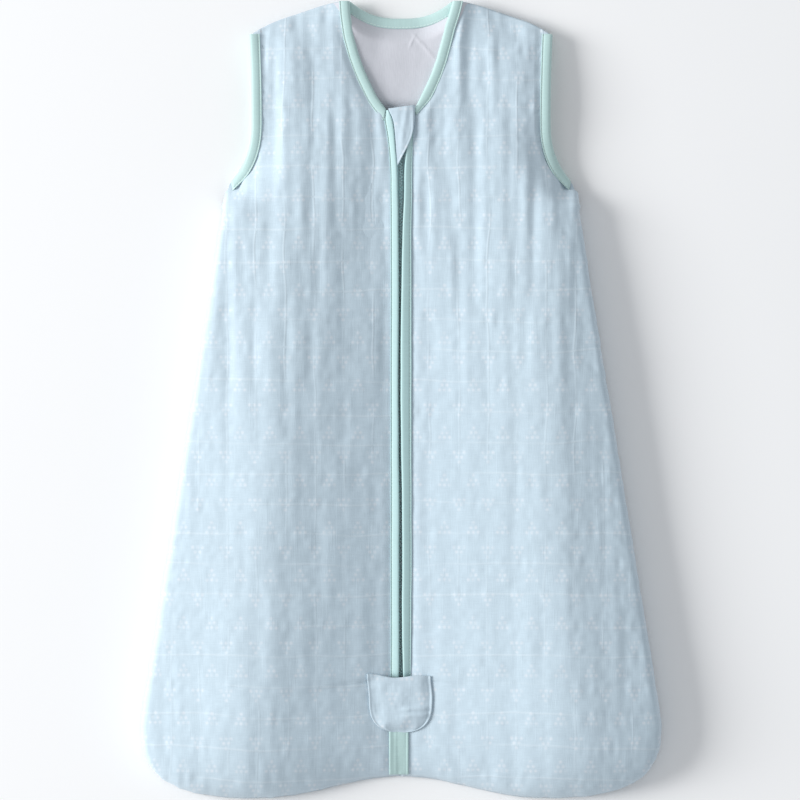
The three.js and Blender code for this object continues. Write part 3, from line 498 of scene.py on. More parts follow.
def sweep(name, corner, into, out, section, material, mirror=False, widths=1.0, slant=0.0):
    """A strip with its section carried along stations. section[k] is (into the cloth, out of it)."""
    section = np.asarray(section, float)
    into, out = (np.broadcast_to(np.asarray(v, float), corner.shape) for v in (into, out))
    widths = np.broadcast_to(widths, len(corner))[:, None]
    carried = (into + slant)[:, None] * (section[None, :, 0] * widths)[..., None]
    points = corner[:, None] + carried + out[:, None] * section[:, 1:]
    stations, count = points.shape[:2]
    k = np.arange(stations * count).reshape(stations, count)
    around = np.roll(k, -1, axis=1)
    faces = [list(f) for f in np.stack([k[:-1], around[:-1], around[1:], k[1:]], axis=-1).reshape(-1, 4)]
    faces += [list(k[0][::-1]), list(k[-1])]
    places = points_at(run_along(corner)[:, None], run_along(section), section[:, 0])
    flat = points.reshape(-1, 3)
    if mirror:
        flat = flat * (-1, 1, 1)
        faces = [f[::-1] for f in faces]
    piece = new_piece(name, flat, faces, material, {"cloth": places.reshape(-1, 3) * MM})
    mesh = piece.data
    volume = sum(p.center.dot(p.normal) * p.area for p in mesh.polygons)
    if volume < 0:
        mesh.flip_normals()
    return piece


# Finishes

class Finish:
    """A procedural finish, built node by node."""

    def __init__(self, name):
        self.material = bpy.data.materials.new(name)
        self.material.use_nodes = True
        self.tree = self.material.node_tree
        self.tree.nodes.clear()
        self.shader = self.node("ShaderNodeBsdfPrincipled")
        output = self.node("ShaderNodeOutputMaterial")
        self.tree.links.new(self.shader.outputs[0], output.inputs["Surface"])

    def node(self, kind, **settings):
        made = self.tree.nodes.new(kind)
        for key, value in settings.items():
            setattr(made, key, value)
        return made

    def put(self, socket, value):
        if isinstance(value, bpy.types.NodeSocket):
            self.tree.links.new(value, socket)
        else:
            socket.default_value = value

    def sum(self, operation, a, b=0.0, c=0.0, clamp=False):
        made = self.node("ShaderNodeMath", operation=operation, use_clamp=clamp)
        for socket, value in zip(made.inputs, (a, b, c)):
            self.put(socket, value)
        return made.outputs[0]

    def times(self, first, *others):
        for other in others:
            first = self.sum("MULTIPLY", first, other)
        return first

    def plus(self, first, *others):
        for other in others:
            first = self.sum("ADD", first, other)
        return first

    def join(self, x, y, z=0.0):
        made = self.node("ShaderNodeCombineXYZ")
        for socket, value in zip(made.inputs, (x, y, z)):
            self.put(socket, value)
        return made.outputs[0]

    def field(self, name):
        made = self.node("ShaderNodeAttribute", attribute_name=name)
        parts = self.node("ShaderNodeSeparateXYZ")
        self.tree.links.new(made.outputs["Vector"], parts.inputs[0])
        return parts.outputs[0], parts.outputs[1], parts.outputs[2]

    def noise(self, place, scale, detail=2.0, rough=0.5):
        made = self.node("ShaderNodeTexNoise")
        self.put(made.inputs["Vector"], place)
        made.inputs["Scale"].default_value = scale
        made.inputs["Detail"].default_value = detail
        made.inputs["Roughness"].default_value = rough
        return made.outputs["Fac"]

    def streaks(self, u, v, per_metre_u, per_metre_v, apart=0.0, detail=2.0):
        """Noise drawn out along one way of the cloth. apart keeps two sets of streaks from matching."""
        place = self.join(self.times(u, per_metre_u), self.times(v, per_metre_v), apart)
        return self.noise(place, 1.0, detail)

    def minus(self, first, other):
        return self.sum("SUBTRACT", first, other)

    def between(self, value, low, high, to_low=0.0, to_high=1.0):
        made = self.node("ShaderNodeMapRange", interpolation_type="SMOOTHSTEP")
        for socket, given in zip(made.inputs, (value, low, high, to_low, to_high)):
            self.put(socket, given)
        return made.outputs[0]

    def blend(self, share, a, b, mode="MIX"):
        made = self.node("ShaderNodeMix", data_type="RGBA", blend_type=mode)
        self.put(made.inputs["Factor"], share)
        for socket, value in ((made.inputs["A"], a), (made.inputs["B"], b)):
            self.put(socket, value if isinstance(value, bpy.types.NodeSocket) else (*value[:3], 1.0))
        return made.outputs["Result"]

    def shade(self, colour, factor):
        """A colour times a number."""
        grey = self.join(factor, factor, factor)
        return self.blend(1.0, colour, grey, "MULTIPLY")

    def bump(self, height, distance, strength=1.0):
        made = self.node("ShaderNodeBump")
        made.inputs["Distance"].default_value = distance
        made.inputs["Strength"].default_value = strength
        self.put(made.inputs["Height"], height)
        self.put(self.shader.inputs["Normal"], made.outputs[0])

    def surface(self, colour, roughness, sheen=0.0, sheen_roughness=0.5, specular=0.5):
        self.put(self.shader.inputs["Base Color"], colour)
        self.put(self.shader.inputs["Roughness"], roughness)
        self.shader.inputs["Sheen Weight"].default_value = sheen
        self.shader.inputs["Sheen Roughness"].default_value = sheen_roughness
        self.shader.inputs["Specular IOR Level"].default_value = specular
        return self.material


def threads(finish, u, v, pitch):
    """Streaks of single threads both ways."""
    drawn_out = 0.09
    warp = finish.streaks(u, v, 1 / pitch, drawn_out / pitch)
    weft = finish.streaks(u, v, drawn_out / pitch, 1 / pitch, apart=5.0)
    return finish.plus(warp, weft)


def pane_line(finish, pane, thin):
    """1 on the quilting lines of one way, whose panes are counted by pane."""
    to_line = finish.minus(finish.sum("FRACT", finish.plus(pane, 0.5)), 0.5)
    return finish.between(finish.sum("ABSOLUTE", to_line), 0.0, thin, 1.0, 0.0)


def dot_triangles(finish, u, v):
    """1 in the middle of the dots, which stand in threes, twos and ones and turn over on each second row."""
    look = bpy.context.scene.bag_cloth
    pitch, rows, step = look.dot_pitch, look.dot_rows, look.dot_step
    row = finish.sum("FLOOR", finish.sum("DIVIDE", v, rows))
    odd = finish.sum("MODULO", finish.sum("ABSOLUTE", row), 2.0)
    shifted = finish.plus(u, finish.times(odd, pitch / 2))
    across = finish.minus(finish.sum("FLOORED_MODULO", shifted, pitch), pitch / 2)
    along = finish.minus(finish.sum("FLOORED_MODULO", v, rows), rows / 2)
    turned = finish.times(along, finish.minus(1.0, finish.times(odd, 2.0)))
    place = finish.join(across, turned)
    nearest = None
    for level, count in enumerate((3, 2, 1)):
        for k in range(count):
            away = finish.node("ShaderNodeVectorMath", operation="DISTANCE")
            finish.put(away.inputs[0], place)
            away.inputs[1].default_value = ((k - (count - 1) / 2) * step, (level - 0.9) * step * 0.95, 0)
            found = away.outputs["Value"]
            nearest = found if nearest is None else finish.sum("MINIMUM", nearest, found)
    return finish.between(nearest, 0.0, look.dot_radius * 1.7, 1.0, 0.0)


def muslin_finish():
    look = bpy.context.scene.bag_cloth
    finish = Finish("puckered_muslin")
    u, v, _ = finish.field("cloth")
    pane_u, pane_v, _ = finish.field("panes")
    weave = threads(finish, u, v, look.thread_pitch)
    slub_u = finish.streaks(u, v, 420.0, 16.0, apart=2.0, detail=1.0)
    slub_v = finish.streaks(u, v, 16.0, 420.0, apart=9.0, detail=1.0)
    slubs = finish.plus(finish.between(slub_u, 0.58, 0.74), finish.between(slub_v, 0.58, 0.74))

    # Painted highlight: the quilting lines are lightened where their pucker ridges would catch the light. It
    # shows in random patches, and the lines of one way fade towards the foot
    highlight_patches_u = finish.streaks(u, v, 40.0, 14.0, apart=3.0, detail=1.0)
    highlight_patches_v = finish.streaks(u, v, 11.0, 40.0, apart=6.0, detail=1.0)
    lines_u = finish.times(pane_line(finish, pane_u, 0.055), finish.between(highlight_patches_u, 0.38, 0.62, 0.1, 0.85),
                           finish.between(v, 0.2, 0.5, 0.4, 1.0))
    lines_v = finish.times(pane_line(finish, pane_v, 0.06), finish.between(highlight_patches_v, 0.36, 0.6, 0.15, 1.0))
    lines = finish.sum("MAXIMUM", lines_u, lines_v)

    faded = finish.noise(finish.join(u, v, 4.0), 170.0)
    dots = finish.times(dot_triangles(finish, u, v), finish.between(faded, 0.32, 0.62, 0.25, 1.0))

    mottle = finish.noise(finish.join(u, v, 7.0), 22.0, 3.0, 0.6)
    tone = finish.plus(finish.between(mottle, 0.25, 0.75, -0.02, 0.02),
                       finish.between(weave, 0.7, 1.3, 0.965, 1.03), finish.times(slubs, 0.012))
    colour = finish.shade(look.muslin_colour, tone)
    # Painted highlight blended along the quilting lines
    colour = finish.blend(finish.times(lines, 0.25), colour, look.line_highlight_colour)
    colour = finish.blend(finish.times(dots, look.dot_strength), colour, look.dot_colour)
    height = finish.plus(finish.times(weave, 0.3), finish.times(slubs, 0.12), finish.times(lines, 0.7))
    finish.bump(height, distance=0.00035, strength=0.7)
    rough = finish.between(weave, 0.6, 1.4, 0.86, 0.97)
    return finish.surface(colour, rough, sheen=0.25, sheen_roughness=0.6, specular=0.2)


def binding_finish(name, colour, stitch_at):
    """Ribbed binding with a row of stitches at a distance in from its fold."""
    look = bpy.context.scene.bag_cloth
    ribs = 0.0009
    finish = Finish(name)
    run, girth, depth = finish.field("cloth")
    rib = finish.streaks(run, girth, 1 / ribs, 0.12 / ribs, detail=1.5)
    fine = finish.streaks(run, girth, 260.0, 900.0, apart=3.0)
    phase = finish.sum("FRACT", finish.sum("DIVIDE", run, look.stitch_length))
    dash = finish.times(finish.between(phase, 0.0, 0.12), finish.between(phase, 0.72, 0.84, 1.0, 0.0))
    away = finish.sum("ABSOLUTE", finish.minus(depth, stitch_at))
    stitch = finish.times(dash, finish.between(away, 0.00022, 0.00046, 1.0, 0.0))
    tone = finish.plus(finish.between(rib, 0.3, 0.7, 0.97, 1.02),
                       finish.between(fine, 0.3, 0.7, -0.012, 0.012))
    shaded = finish.blend(finish.times(stitch, 0.7), finish.shade(colour, tone), look.stitch_colour)
    height = finish.plus(finish.times(rib, 0.6), finish.times(fine, 0.3), finish.times(stitch, 1.2))
    finish.bump(height, distance=0.0002, strength=0.6)
    rough = finish.between(rib, 0.3, 0.7, 0.5, 0.62)
    return finish.surface(shaded, rough, sheen=0.35, sheen_roughness=0.4, specular=0.35)


def lining_finish():
    finish = Finish("lining_jersey")
    u, v, _ = finish.field("cloth")
    wale = finish.streaks(u, v, 950.0, 120.0, detail=1.5)
    course = finish.streaks(u, v, 180.0, 1100.0, apart=4.0, detail=1.5)
    cloud = finish.noise(finish.join(u, v, 2.0), 24.0, 3.0, 0.6)
    tone = finish.plus(finish.between(wale, 0.3, 0.7, 0.975, 1.01),
                       finish.between(cloud, 0.3, 0.7, -0.025, 0.02))
    finish.bump(finish.plus(wale, finish.times(course, 0.7)), distance=0.00018, strength=0.6)
    colour = finish.shade(bpy.context.scene.bag_cloth.lining_colour, tone)
    return finish.surface(colour, 0.92, sheen=0.2, sheen_roughness=0.6, specular=0.2)


def tape_finish():
    finish = Finish("zip_tape_cloth")
    run, girth, _ = finish.field("cloth")
    along, across = finish.times(run, 900.0), finish.times(girth, 900.0)
    slant, back = finish.plus(along, across), finish.minus(along, across)
    twill = finish.times(finish.sum("SINE", slant), finish.sum("SINE", back))
    wear = finish.noise(finish.join(run, girth, 1.0), 160.0)
    tone = finish.plus(finish.between(twill, -0.6, 0.6, 0.95, 1.03),
                       finish.between(wear, 0.3, 0.7, -0.03, 0.02))
    finish.bump(twill, distance=0.00015, strength=0.6)
    colour = finish.shade(bpy.context.scene.bag_zip.tape_colour, tone)
    return finish.surface(colour, 0.85, sheen=0.15, sheen_roughness=0.5, specular=0.25)


def plastic_finish(name, colour, roughness):
    finish = Finish(name)
    place = finish.node("ShaderNodeTexCoord").outputs["Object"]
    cloud = finish.noise(place, 300.0)
    finish.bump(finish.noise(place, 2600.0), distance=0.00004, strength=0.5)
    rough = finish.between(cloud, 0.3, 0.7, roughness - 0.06, roughness + 0.06)
    return finish.surface(finish.shade(colour, finish.between(cloud, 0.3, 0.7, 0.97, 1.02)), rough)


def floor_finish():
    finish = Finish("studio_floor")
    cloud = finish.noise(finish.node("ShaderNodeTexCoord").outputs["Object"], 3.0)
    tone = finish.between(cloud, 0.3, 0.7, 0.995, 1.0)
    colour = finish.shade(bpy.context.scene.bag_stage.floor_colour, tone)
    return finish.surface(colour, 0.9, specular=0.1)


FINISHES = {}


def finish_of(name):
    """Each finish is made once, when a piece first asks for it."""
    look, zipper = bpy.context.scene.bag_cloth, bpy.context.scene.bag_zip
    makers = {
        "muslin": muslin_finish,
        "lining": lining_finish,
        "binding": lambda: binding_finish("ribbed_binding", look.binding_colour, 0.0070),
        "strip": lambda: binding_finish("zip_strip_binding", look.strip_colour, 0.0064),
        "tape": tape_finish,
        "teeth": lambda: plastic_finish("zip_teeth_resin", zipper.teeth_colour, 0.42),
        "slider": lambda: plastic_finish("zip_slider_enamel", zipper.slider_colour, 0.32),
    }
    if name not in FINISHES:
        FINISHES[name] = makers[name]()
    return FINISHES[name]


# Pieces of the front, baked in place


def turn_with_front(piece):
    """Bakes a piece's placing into its mesh."""
    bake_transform(piece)


# Pieces

RIGHT, UP, DOWN = (1.0, 0.0, 0.0), (0.0, 0.0, 1.0), (0.0, 0.0, -1.0)

# The section of a folded binding: (in from the edge of the cloth, above its face)
FOLDED_EDGE = [
    (8.4, 1.9), (8.35, 2.35), (8.0, 2.7), (7.6, 2.62), (7.25, 2.25), (6.95, 2.25), (6.5, 2.6), (5.2, 2.95),
    (3.4, 3.15), (1.6, 3.1), (0.3, 2.75), (-0.6, 2.0), (-1.05, 0.9), (-1.1, -0.3), (-0.8, -1.3), (-0.1, -2.0),
    (1.2, -2.35), (4, -2.45), (7.4, -2.4), (8.3, -2.0), (8.3, -1.55), (-0.2, -1.5), (-0.45, 0.2),
    (-0.2, 1.83), (8.3, 1.86),
]
# The sections of the strips and tapes: (out from the edge at the zip, above the floor)
STRIP_SECTION = [
    (7.6, 20.15), (7.6, 20.6), (7.35, 20.85), (7.0, 20.75), (6.75, 20.2), (6.45, 20.2), (6.15, 20.8),
    (5.2, 21.15), (4, 21.55), (2.7, 21.9), (1.4, 22.18), (0.7, 22.05), (0.2, 21.5), (0, 20.4), (0.05, 19),
    (0.3, 17.7), (0.8, 17.15), (2, 17.08), (5, 17.06), (7.3, 17.1), (7.6, 17.4), (7.6, 18.05), (1.15, 18.1),
    (0.9, 19.1), (1.15, 20.08), (7.5, 20.1),
]
TAPE_SECTION = [
    (2.2, 13.7), (4.0, 13.7), (5.6, 14.6), (7.0, 15.9), (8.2, 16.1), (10.4, 16.1), (10.4, 16.7), (8.0, 16.7),
    (6.8, 16.5), (5.4, 15.3), (3.9, 14.3), (2.2, 14.3),
]
CLOSED_REACH = 20


def front_relief(half, base, sign, places, panes, seed):
    """How far the outer face of a half of the front stands proud, pressed down beside its seams."""
    y = base[..., 1]
    relief = muslin_relief(places, panes, seed, ease((y + 60) / 260))
    lip = np.where(y > MOUTH_Y, covered(sign, y, BINDING_WIDTH), 9.5)
    from_lip = half["from_zip"] - lip
    unbound = 1 - ease((half["bound_side"] - 0.5) * 3)
    from_arm = half["from_side"] - BINDING_WIDTH + unbound * FAR_OFF
    from_seam = np.minimum(half["from_side"] + half["bound_side"] * FAR_OFF,
                           half["along"][:, None] * CLOTH_LENGTH)
    pressed = ease((from_lip + 0.5) / 8) * ease((from_arm + 0.5) / 7) * mix(0.35, 1, ease(from_seam / 12))
    pressed = pressed * mix(0.3, 1, ease(half["from_shoulder"] / 10))
    # The seams gather the cloth beside the armhole, the zip and the side
    gathers = np.clip(ripple(seed + 21, (y + 0.4 * from_arm) / 3.4, from_arm / 14), 0, 1)
    tug = -1.1 * gathers * np.exp(-np.clip(from_arm, 0, None) / 6) * ease((from_arm + 0.3) / 2)
    beside_lip = 0.3 * ripple(seed + 22, y / 5.5, from_lip / 12) * np.exp(-np.clip(from_lip, 0, None) / 6)
    tug += beside_lip * ease(from_lip / 2.5)
    tug += 0.4 * ripple(seed + 23, (y + base[..., 0]) / 6, from_seam / 16) * np.exp(-from_seam / 9)
    return pressed * relief + tug


def make_front(side, sign):
    seed = 40 + sign * 15
    half = front_base(sign, rows=300, columns=144)
    base = half["points"]
    places = cloth_places(base, base[:, 0, 0])
    panes = pane_places(places, seed)
    relief = front_relief(half, base, sign, places, panes, seed)
    over = base + face_normals(base) * (PANEL + relief)[..., None]
    quilt = cloth_sheet(f"quilted_front_{side}", base, over, finish_of("muslin"), places, panes, sign < 0)
    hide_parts(f"front_panel_{side}", f"opening_panel_{side}")
    turn_with_front(quilt)


def make_front_lining(side, sign):
    base = front_base(sign, rows=100, columns=60)["points"][2:-2]
    inner_x, inner_y = base[:, 0, 0], base[:, 0, 1]
    beside_zip = np.maximum(zip_edge(sign, inner_y), GAP_HALF) + 8.6
    below_neck = np.where(inner_y > SEAM_CLOSED_Y, beside_zip, inner_x + 0.3)
    start = np.where(inner_y > ZIP_TOP_Y, inner_x + 1, below_neck)
    end = base[:, -1, 0] - np.where(inner_y > UNDERARM_Y, 1.2, 9)
    rows = []
    for row, low, high in zip(base, start, end):
        x = np.linspace(low, high, 40)
        rows.append(points_at(x, np.interp(x, row[:, 0], row[:, 1]), np.interp(x, row[:, 0], row[:, 2])))
    grid = np.array(rows)
    places = cloth_places(grid, grid[:, 0, 0])
    over = grid - (0, 0, CLEAR)
    under = over - (0, 0, LINING)
    lining = cloth_sheet(f"lining_of_front_{side}", under, over, finish_of("lining"), places, None, sign < 0)
    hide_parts(f"front_lining_{side}", f"opening_lining_{side}")
    turn_with_front(lining)


def back_neck_y(share):
    roundness = 2.6
    return mix(BACK_NECK_Y, NECK_Y, np.abs(share) ** roundness)


def back_grid(rows, columns, bias=1):
    """The underside of the whole back, and how far each point lies from its bound edges.
    A bias over 1 sets the points closer together towards the neck."""
    across = np.linspace(0, 1, columns) ** bias
    along = 1 - (1 - np.linspace(0, 1, rows)) ** bias
    neck = 0.34
    neck_share = np.clip(across / neck, 0, 1)
    curve = points_at(NECK_X * neck_share, back_neck_y(neck_share))
    beyond = shoulder_line(np.clip((across - neck) / (1 - neck), 0, 1), NECK_X, NECK_Y)
    top = np.where((across > neck)[:, None], beyond, curve)
    inner = points_at(0.0, mix(HEM_CENTRE, BACK_NECK_Y, along))
    plan = patch(hem_line(across, 0), top, inner, side_line(along), across, along)
    from_side = (1 - across)[None] * side_line(along)[:, :1]
    from_top = (1 - along)[:, None] * CLOTH_LENGTH + np.where(across > neck + 0.02, FAR_OFF, 0)[None]
    lift_side = near_armhole(along)[:, None] * ease(1 - (from_side - BINDING_WIDTH) / 16)
    lift_top = ease(1 - (from_top - BINDING_WIDTH) / 16)
    z = EDGE_LIFT * np.maximum(lift_side, lift_top) + raise_at(plan[..., 0], plan[..., 1])
    right = np.concatenate([plan, z[..., None]], axis=-1)
    left = right[:, :0:-1] * (-1, 1, 1)
    edge = np.minimum(from_side + (1 - near_armhole(along))[:, None] * FAR_OFF, from_top)
    return np.concatenate([left, right], axis=1), np.concatenate([edge[:, :0:-1], edge], axis=1)


def make_back():
    seed = 71
    base, from_edge = back_grid(rows=230, columns=82)
    places = cloth_places(base, base[:, 0, 0])
    panes = pane_places(places, seed)
    pressed = ease((from_edge - BINDING_WIDTH) / 8)
    hollow = pressed * np.clip(1.1 - muslin_relief(places, panes, seed, 0.1), 0, 1.6) * 0.55
    under, over = raised(base, hollow), raised(base, PANEL)
    back = cloth_sheet("quilted_back", under, over, finish_of("muslin"), places, panes)
    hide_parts("back_panel")
    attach(back, "bag")


def make_back_lining():
    base, from_edge = back_grid(rows=190, columns=100, bias=1.6)
    grid = base[2:-1, 2:-2]
    places = cloth_places(grid, grid[:, 0, 0])
    x, y = grid[..., 0], grid[..., 1]
    # Two creases behind the neck binding, on cloth that the neck opening lets rise
    crease = bell(x - 8.6 + (y - 330) * 0.889, 1.1) * ease((y - 298) / 10) * ease((334 - y) / 6)
    crease += 0.7 * bell(x - 10 - (y - 321) * 0.45, 1.1) * ease((y - 312) / 8) * ease((336 - y) / 6)
    soft = 0.28 + 0.28 * ripple(91, x / 24, y / 30) + 0.12 * ripple(92, x / 7, y / 26)
    swell = (7 * ease((y - 210) / 38) + 2.6 * ease((y - 256) / 12)) * ease((74 - np.abs(x)) / 34)
    swell += 1.8 * ease((y - 256) / 14) * ease((326 - y) / 26) * ease((46 - np.abs(x)) / 14)
    rise = ease((from_edge[2:-1, 2:-2] - BINDING_WIDTH + 1) / 16) * (soft + swell + 0.75 * crease)
    under = raised(grid, PANEL + CLEAR)
    lining = cloth_sheet("lining_of_back", under, raised(under, LINING + rise), finish_of("lining"), places)
    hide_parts("back_lining")
    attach(lining, "bag")


def square_to(corner):
    """Unit steps from a line into the cloth on its right, all level."""
    along = np.gradient(corner, axis=0)
    return unit(points_at(along[:, 1], -along[:, 0], 0.0))


def make_front_neck_binding(side, sign):
    y = np.concatenate([[ZIP_TOP_Y - 0.6], np.linspace(ZIP_TOP_Y, NECK_Y, 72), [NECK_Y + 0.7]])
    x = neck_edge(sign, y) + PROUD
    x[0] = x[1] - 0.6
    share = np.clip((y - ZIP_TOP_Y) / (NECK_Y - ZIP_TOP_Y), 0, 1)
    corner = points_at(x, y, mix(ZIP_CLOTH, NECK_CLOTH, share))
    into = unit(mix(square_to(corner), np.array([RIGHT]), ease((share - 0.9) / 0.1)[:, None]))
    run = run_along(corner)
    leaning = NECK_SLANTS[sign] * np.clip(1 - run / NECK_END_RUN, 0, 1) ** 1.5
    slant = -unit(np.gradient(corner, axis=0)) * leaning[:, None]
    widths = mix(NECK_END_WIDTHS[sign], 1, ease(run / NECK_END_RUN))
    band = sweep(f"neck_band_{side}", corner, into, UP, FOLDED_EDGE, finish_of("binding"), sign < 0,
                 widths, slant)
    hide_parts(f"neck_binding_{side}", f"neck_binding_shoulder_{side}")
    turn_with_front(band)


def make_back_neck_binding():
    share = np.linspace(-1, 1, 90)
    x, y = NECK_X * share, back_neck_y(share)
    corner = points_at(x, y, EDGE_LIFT + raise_at(x, y) + PANEL)
    band = sweep("neck_band_back", corner, square_to(corner), DOWN, FOLDED_EDGE, finish_of("binding"))
    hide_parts("neck_binding_back")
    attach(band, "bag")


def heights_below(places, reach):
    """The highest point of the quilted front under each place, or within reach of it left and right."""
    trees = []
    for side, _ in SIDES:
        mesh = bpy.data.objects[f"quilted_front_{side}"].data
        trees.append(BVHTree.FromPolygons([v.co for v in mesh.vertices], [p.vertices for p in mesh.polygons]))
    found = np.zeros(len(places))
    for k, (x, y) in enumerate(places):
        for shift in (-reach, 0, reach):
            for tree in trees:
                hit = tree.ray_cast(Vector(((x + shift) * MM, y * MM, 0.2)), Vector(DOWN))[0]
                if hit is not None:
                    found[k] = max(found[k], hit.z / MM)
    return found


def make_armhole_binding(side, sign):
    """One band up the front of the armhole, round its top end and down the back."""
    half = front_base(sign, rows=264, columns=60)
    grid = half["points"]
    front = grid[half["along"] >= UNDERARM_SHARE, -1]
    back, _ = back_grid(rows=230, columns=60)
    back = back[back[:, -1, 1] >= UNDERARM_Y][::-1]

    def height_at(x, y):
        return np.interp(y, grid[:, -1, 1], [np.interp(x, row[:, 0], row[:, 2]) for row in grid])

    along = unit(np.gradient(front, axis=0)[:, :2])
    run = run_along(front[:, :2])
    front_into = points_at(-along[:, 1], along[:, 0])
    front_into = front_into - along * (0.75 * np.clip(1 - run / 22, 0, 1) ** 1.2)[:, None]
    widths = mix(0.76, 1, ease(run / 18))
    stitched = front[:, :2] + front_into * (BINDING_WIDTH * widths)[:, None]
    cloth = heights_below(stitched * (sign, 1), reach=0.5) - 1.7
    seat = np.maximum([height_at(x, y) for x, y in stitched], cloth)
    rise = np.convolve(np.pad(seat - front[:, 2], 3, mode="edge"), np.ones(7) / 7, mode="valid")
    rise = rise / (BINDING_WIDTH * widths)
    front_into = np.concatenate([front_into, rise[:, None]], axis=1)

    back_into = unit(back[:, -5] - back[:, -1])
    back_corner = raised(back[:, -1], PANEL)
    top, bottom = front[-1], back_corner[0]
    angles = np.linspace(0, math.pi, 9)[1:-1]
    turn_out = points_at(0.0, np.sin(angles), np.cos(angles))
    turn = (top + bottom) / 2 + turn_out * (1, 0.25, 1) * ((top[2] - bottom[2]) / 2)
    corner = np.concatenate([front, turn, back_corner])
    into = np.concatenate([front_into, np.tile(front_into[-1], (len(angles), 1)), back_into])
    up, down = np.tile(UP, (len(front), 1)), np.tile(DOWN, (len(back), 1))
    out = np.concatenate([up, turn_out * (1, 0.4, 1), down])
    widths = np.concatenate([widths, np.ones(len(corner) - len(widths))])
    band = sweep(f"armhole_band_{side}", corner, into, out, FOLDED_EDGE, finish_of("binding"), sign < 0,
                 widths)
    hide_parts(f"armhole_binding_{side}")
    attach(band, "bag")


def zip_rows(above_mouth, below_top, count):
    """Stations along the zip, set closer together where its two strips part."""
    parting = ZIP_TOP_Y - SPLAY_REACH
    lower = np.linspace(MOUTH_Y + above_mouth, parting, count)
    return np.concatenate([lower, np.linspace(parting, ZIP_TOP_Y - below_top, count)[1:]])


def make_zip_strips(side, sign):
    y = zip_rows(above_mouth=0.3, below_top=1, count=60)
    inner = zip_edge(sign, y)
    corner = points_at(inner + 0.18 * ripple(7 + sign, y / 26, 0 * y), y, 0.0)
    narrowing = np.maximum(soft_line(STRIP_OUTER[sign], y) - inner, 0.4) / STRIP_WIDTH
    strip = sweep(f"zip_strip_{side}", corner, RIGHT, UP, STRIP_SECTION, finish_of("strip"), sign < 0,
                  narrowing)
    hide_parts(f"zip_binding_{side}")
    turn_with_front(strip)

    corner = points_at(GAP_HALF, np.linspace(MOUTH_Y - CLOSED_REACH, MOUTH_Y, 12), 0.0)
    lower = sweep(f"zip_strip_lower_{side}", corner, RIGHT, UP, STRIP_SECTION, finish_of("strip"), sign < 0)
    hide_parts(f"zip_binding_lower_{side}")
    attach(lower, "bag")


def make_tapes(side, sign):
    y = zip_rows(above_mouth=0.6, below_top=0.6, count=30)
    corner = points_at(0.0, y, 0.0)
    tape = sweep(f"zip_tape_cloth_{side}", corner, RIGHT, UP, TAPE_SECTION, finish_of("tape"), sign < 0)
    places = np.array([v.co for v in tape.data.vertices])
    share = np.clip((np.abs(places[:, 0]) / MM - 5.0) / 3.0, 0, 1)
    places[:, 0] += sign * share * np.interp(places[:, 1] / MM, y, zip_edge(sign, y) - GAP_HALF) * MM
    tape.data.vertices.foreach_set("co", places.astype(np.float32).ravel())
    tape.data.update()
    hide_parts(f"zip_tape_{side}")
    turn_with_front(tape)

    corner = points_at(0.0, np.linspace(MOUTH_Y - CLOSED_REACH, MOUTH_Y - 0.3, 8), 0.0)
    lower = sweep(f"zip_tape_cloth_lower_{side}", corner, RIGHT, UP, TAPE_SECTION, finish_of("tape"),
                  sign < 0)
    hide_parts(f"zip_tape_lower_{side}")
    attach(lower, "bag")


TOOTH_OUTLINE = [(1.25, -0.45), (0.5, -0.62), (-0.25, -0.78), (-0.75, -0.5), (-0.88, 0),
                 (-0.75, 0.5), (-0.25, 0.78), (0.5, 0.62), (1.25, 0.45)]
TOOTH_LEVELS = [(-1.0, 0.78), (-0.72, 1.0), (0.72, 1.0), (1.0, 0.78)]
TOOTH_HEIGHT = 14.0
TOOTH_REACH = 0.9


def make_teeth(side, sign):
    """One row of moulded teeth along a cord at the edge of its tape."""
    pitch = bpy.context.scene.bag_zip.tooth_pitch / MM
    low, high = MOUTH_Y + 1, RETAINER_Y - 1.2
    points, faces = [], []

    def ring_stack(rings):
        start, count = len(points), len(rings[0])
        for ring in rings:
            points.extend(ring)
        for level in range(len(rings) - 1):
            for k in range(count):
                a, b = start + level * count + k, start + level * count + (k + 1) % count
                faces.append((a, b, b + count, a + count))
        faces.append(tuple(range(start, start + count))[::-1])
        last = start + (len(rings) - 1) * count
        faces.append(tuple(range(last, last + count)))

    first = low + (pitch / 2 if sign < 0 else 0) + TOOTH_REACH
    for y in np.arange(first, high - TOOTH_REACH, pitch):
        ring_stack([[(x * shrink + 0.15, y + dy * shrink, TOOTH_HEIGHT + dz) for x, dy in TOOTH_OUTLINE]
                    for dz, shrink in TOOTH_LEVELS])
    turns = np.linspace(0, 2 * math.pi, 9)[:-1]
    cord = [(1.55 + 0.35 * math.cos(a), TOOTH_HEIGHT + 0.75 * math.sin(a)) for a in turns]
    ring_stack([[(x, y, z) for x, z in cord] for y in np.linspace(low, high, 120)])
    if sign < 0:
        points = np.array(points) * (-1, 1, 1)
        faces = [f[::-1] for f in faces]
    row = new_piece(f"zip_teeth_row_{side}", points, faces, finish_of("teeth"))
    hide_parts(f"zip_teeth_{side}")
    turn_with_front(row)


def dress_nodes():
    """The hard pieces of the zip keep their CAD shapes, with rounded edges."""
    for node, finish, width in (("zip_slider", "slider", 0.35), ("zip_pull", "slider", 0.22),
                                ("zip_retainer_box", "teeth", 0.3), ("zip_insert_pin", "teeth", 0.3),
                                ("zip_end_stop", "teeth", 0.35)):
        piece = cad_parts[node]
        piece.data.materials.clear()
        piece.data.materials.append(finish_of(finish))
        bevel = piece.modifiers.new("worn_edges", "BEVEL")
        bevel.width = width * MM
        bevel.segments = 3
        bevel.limit_method = "ANGLE"


def seat_under(x, y, reach, passes):
    """The smoothed top of the quilted front under a grid of places."""
    return smoothed(heights_below(points_at(x, y).reshape(-1, 2), reach).reshape(x.shape), passes)


POCKET_HALF = 28.6
POCKET_DEPTH = 48.8


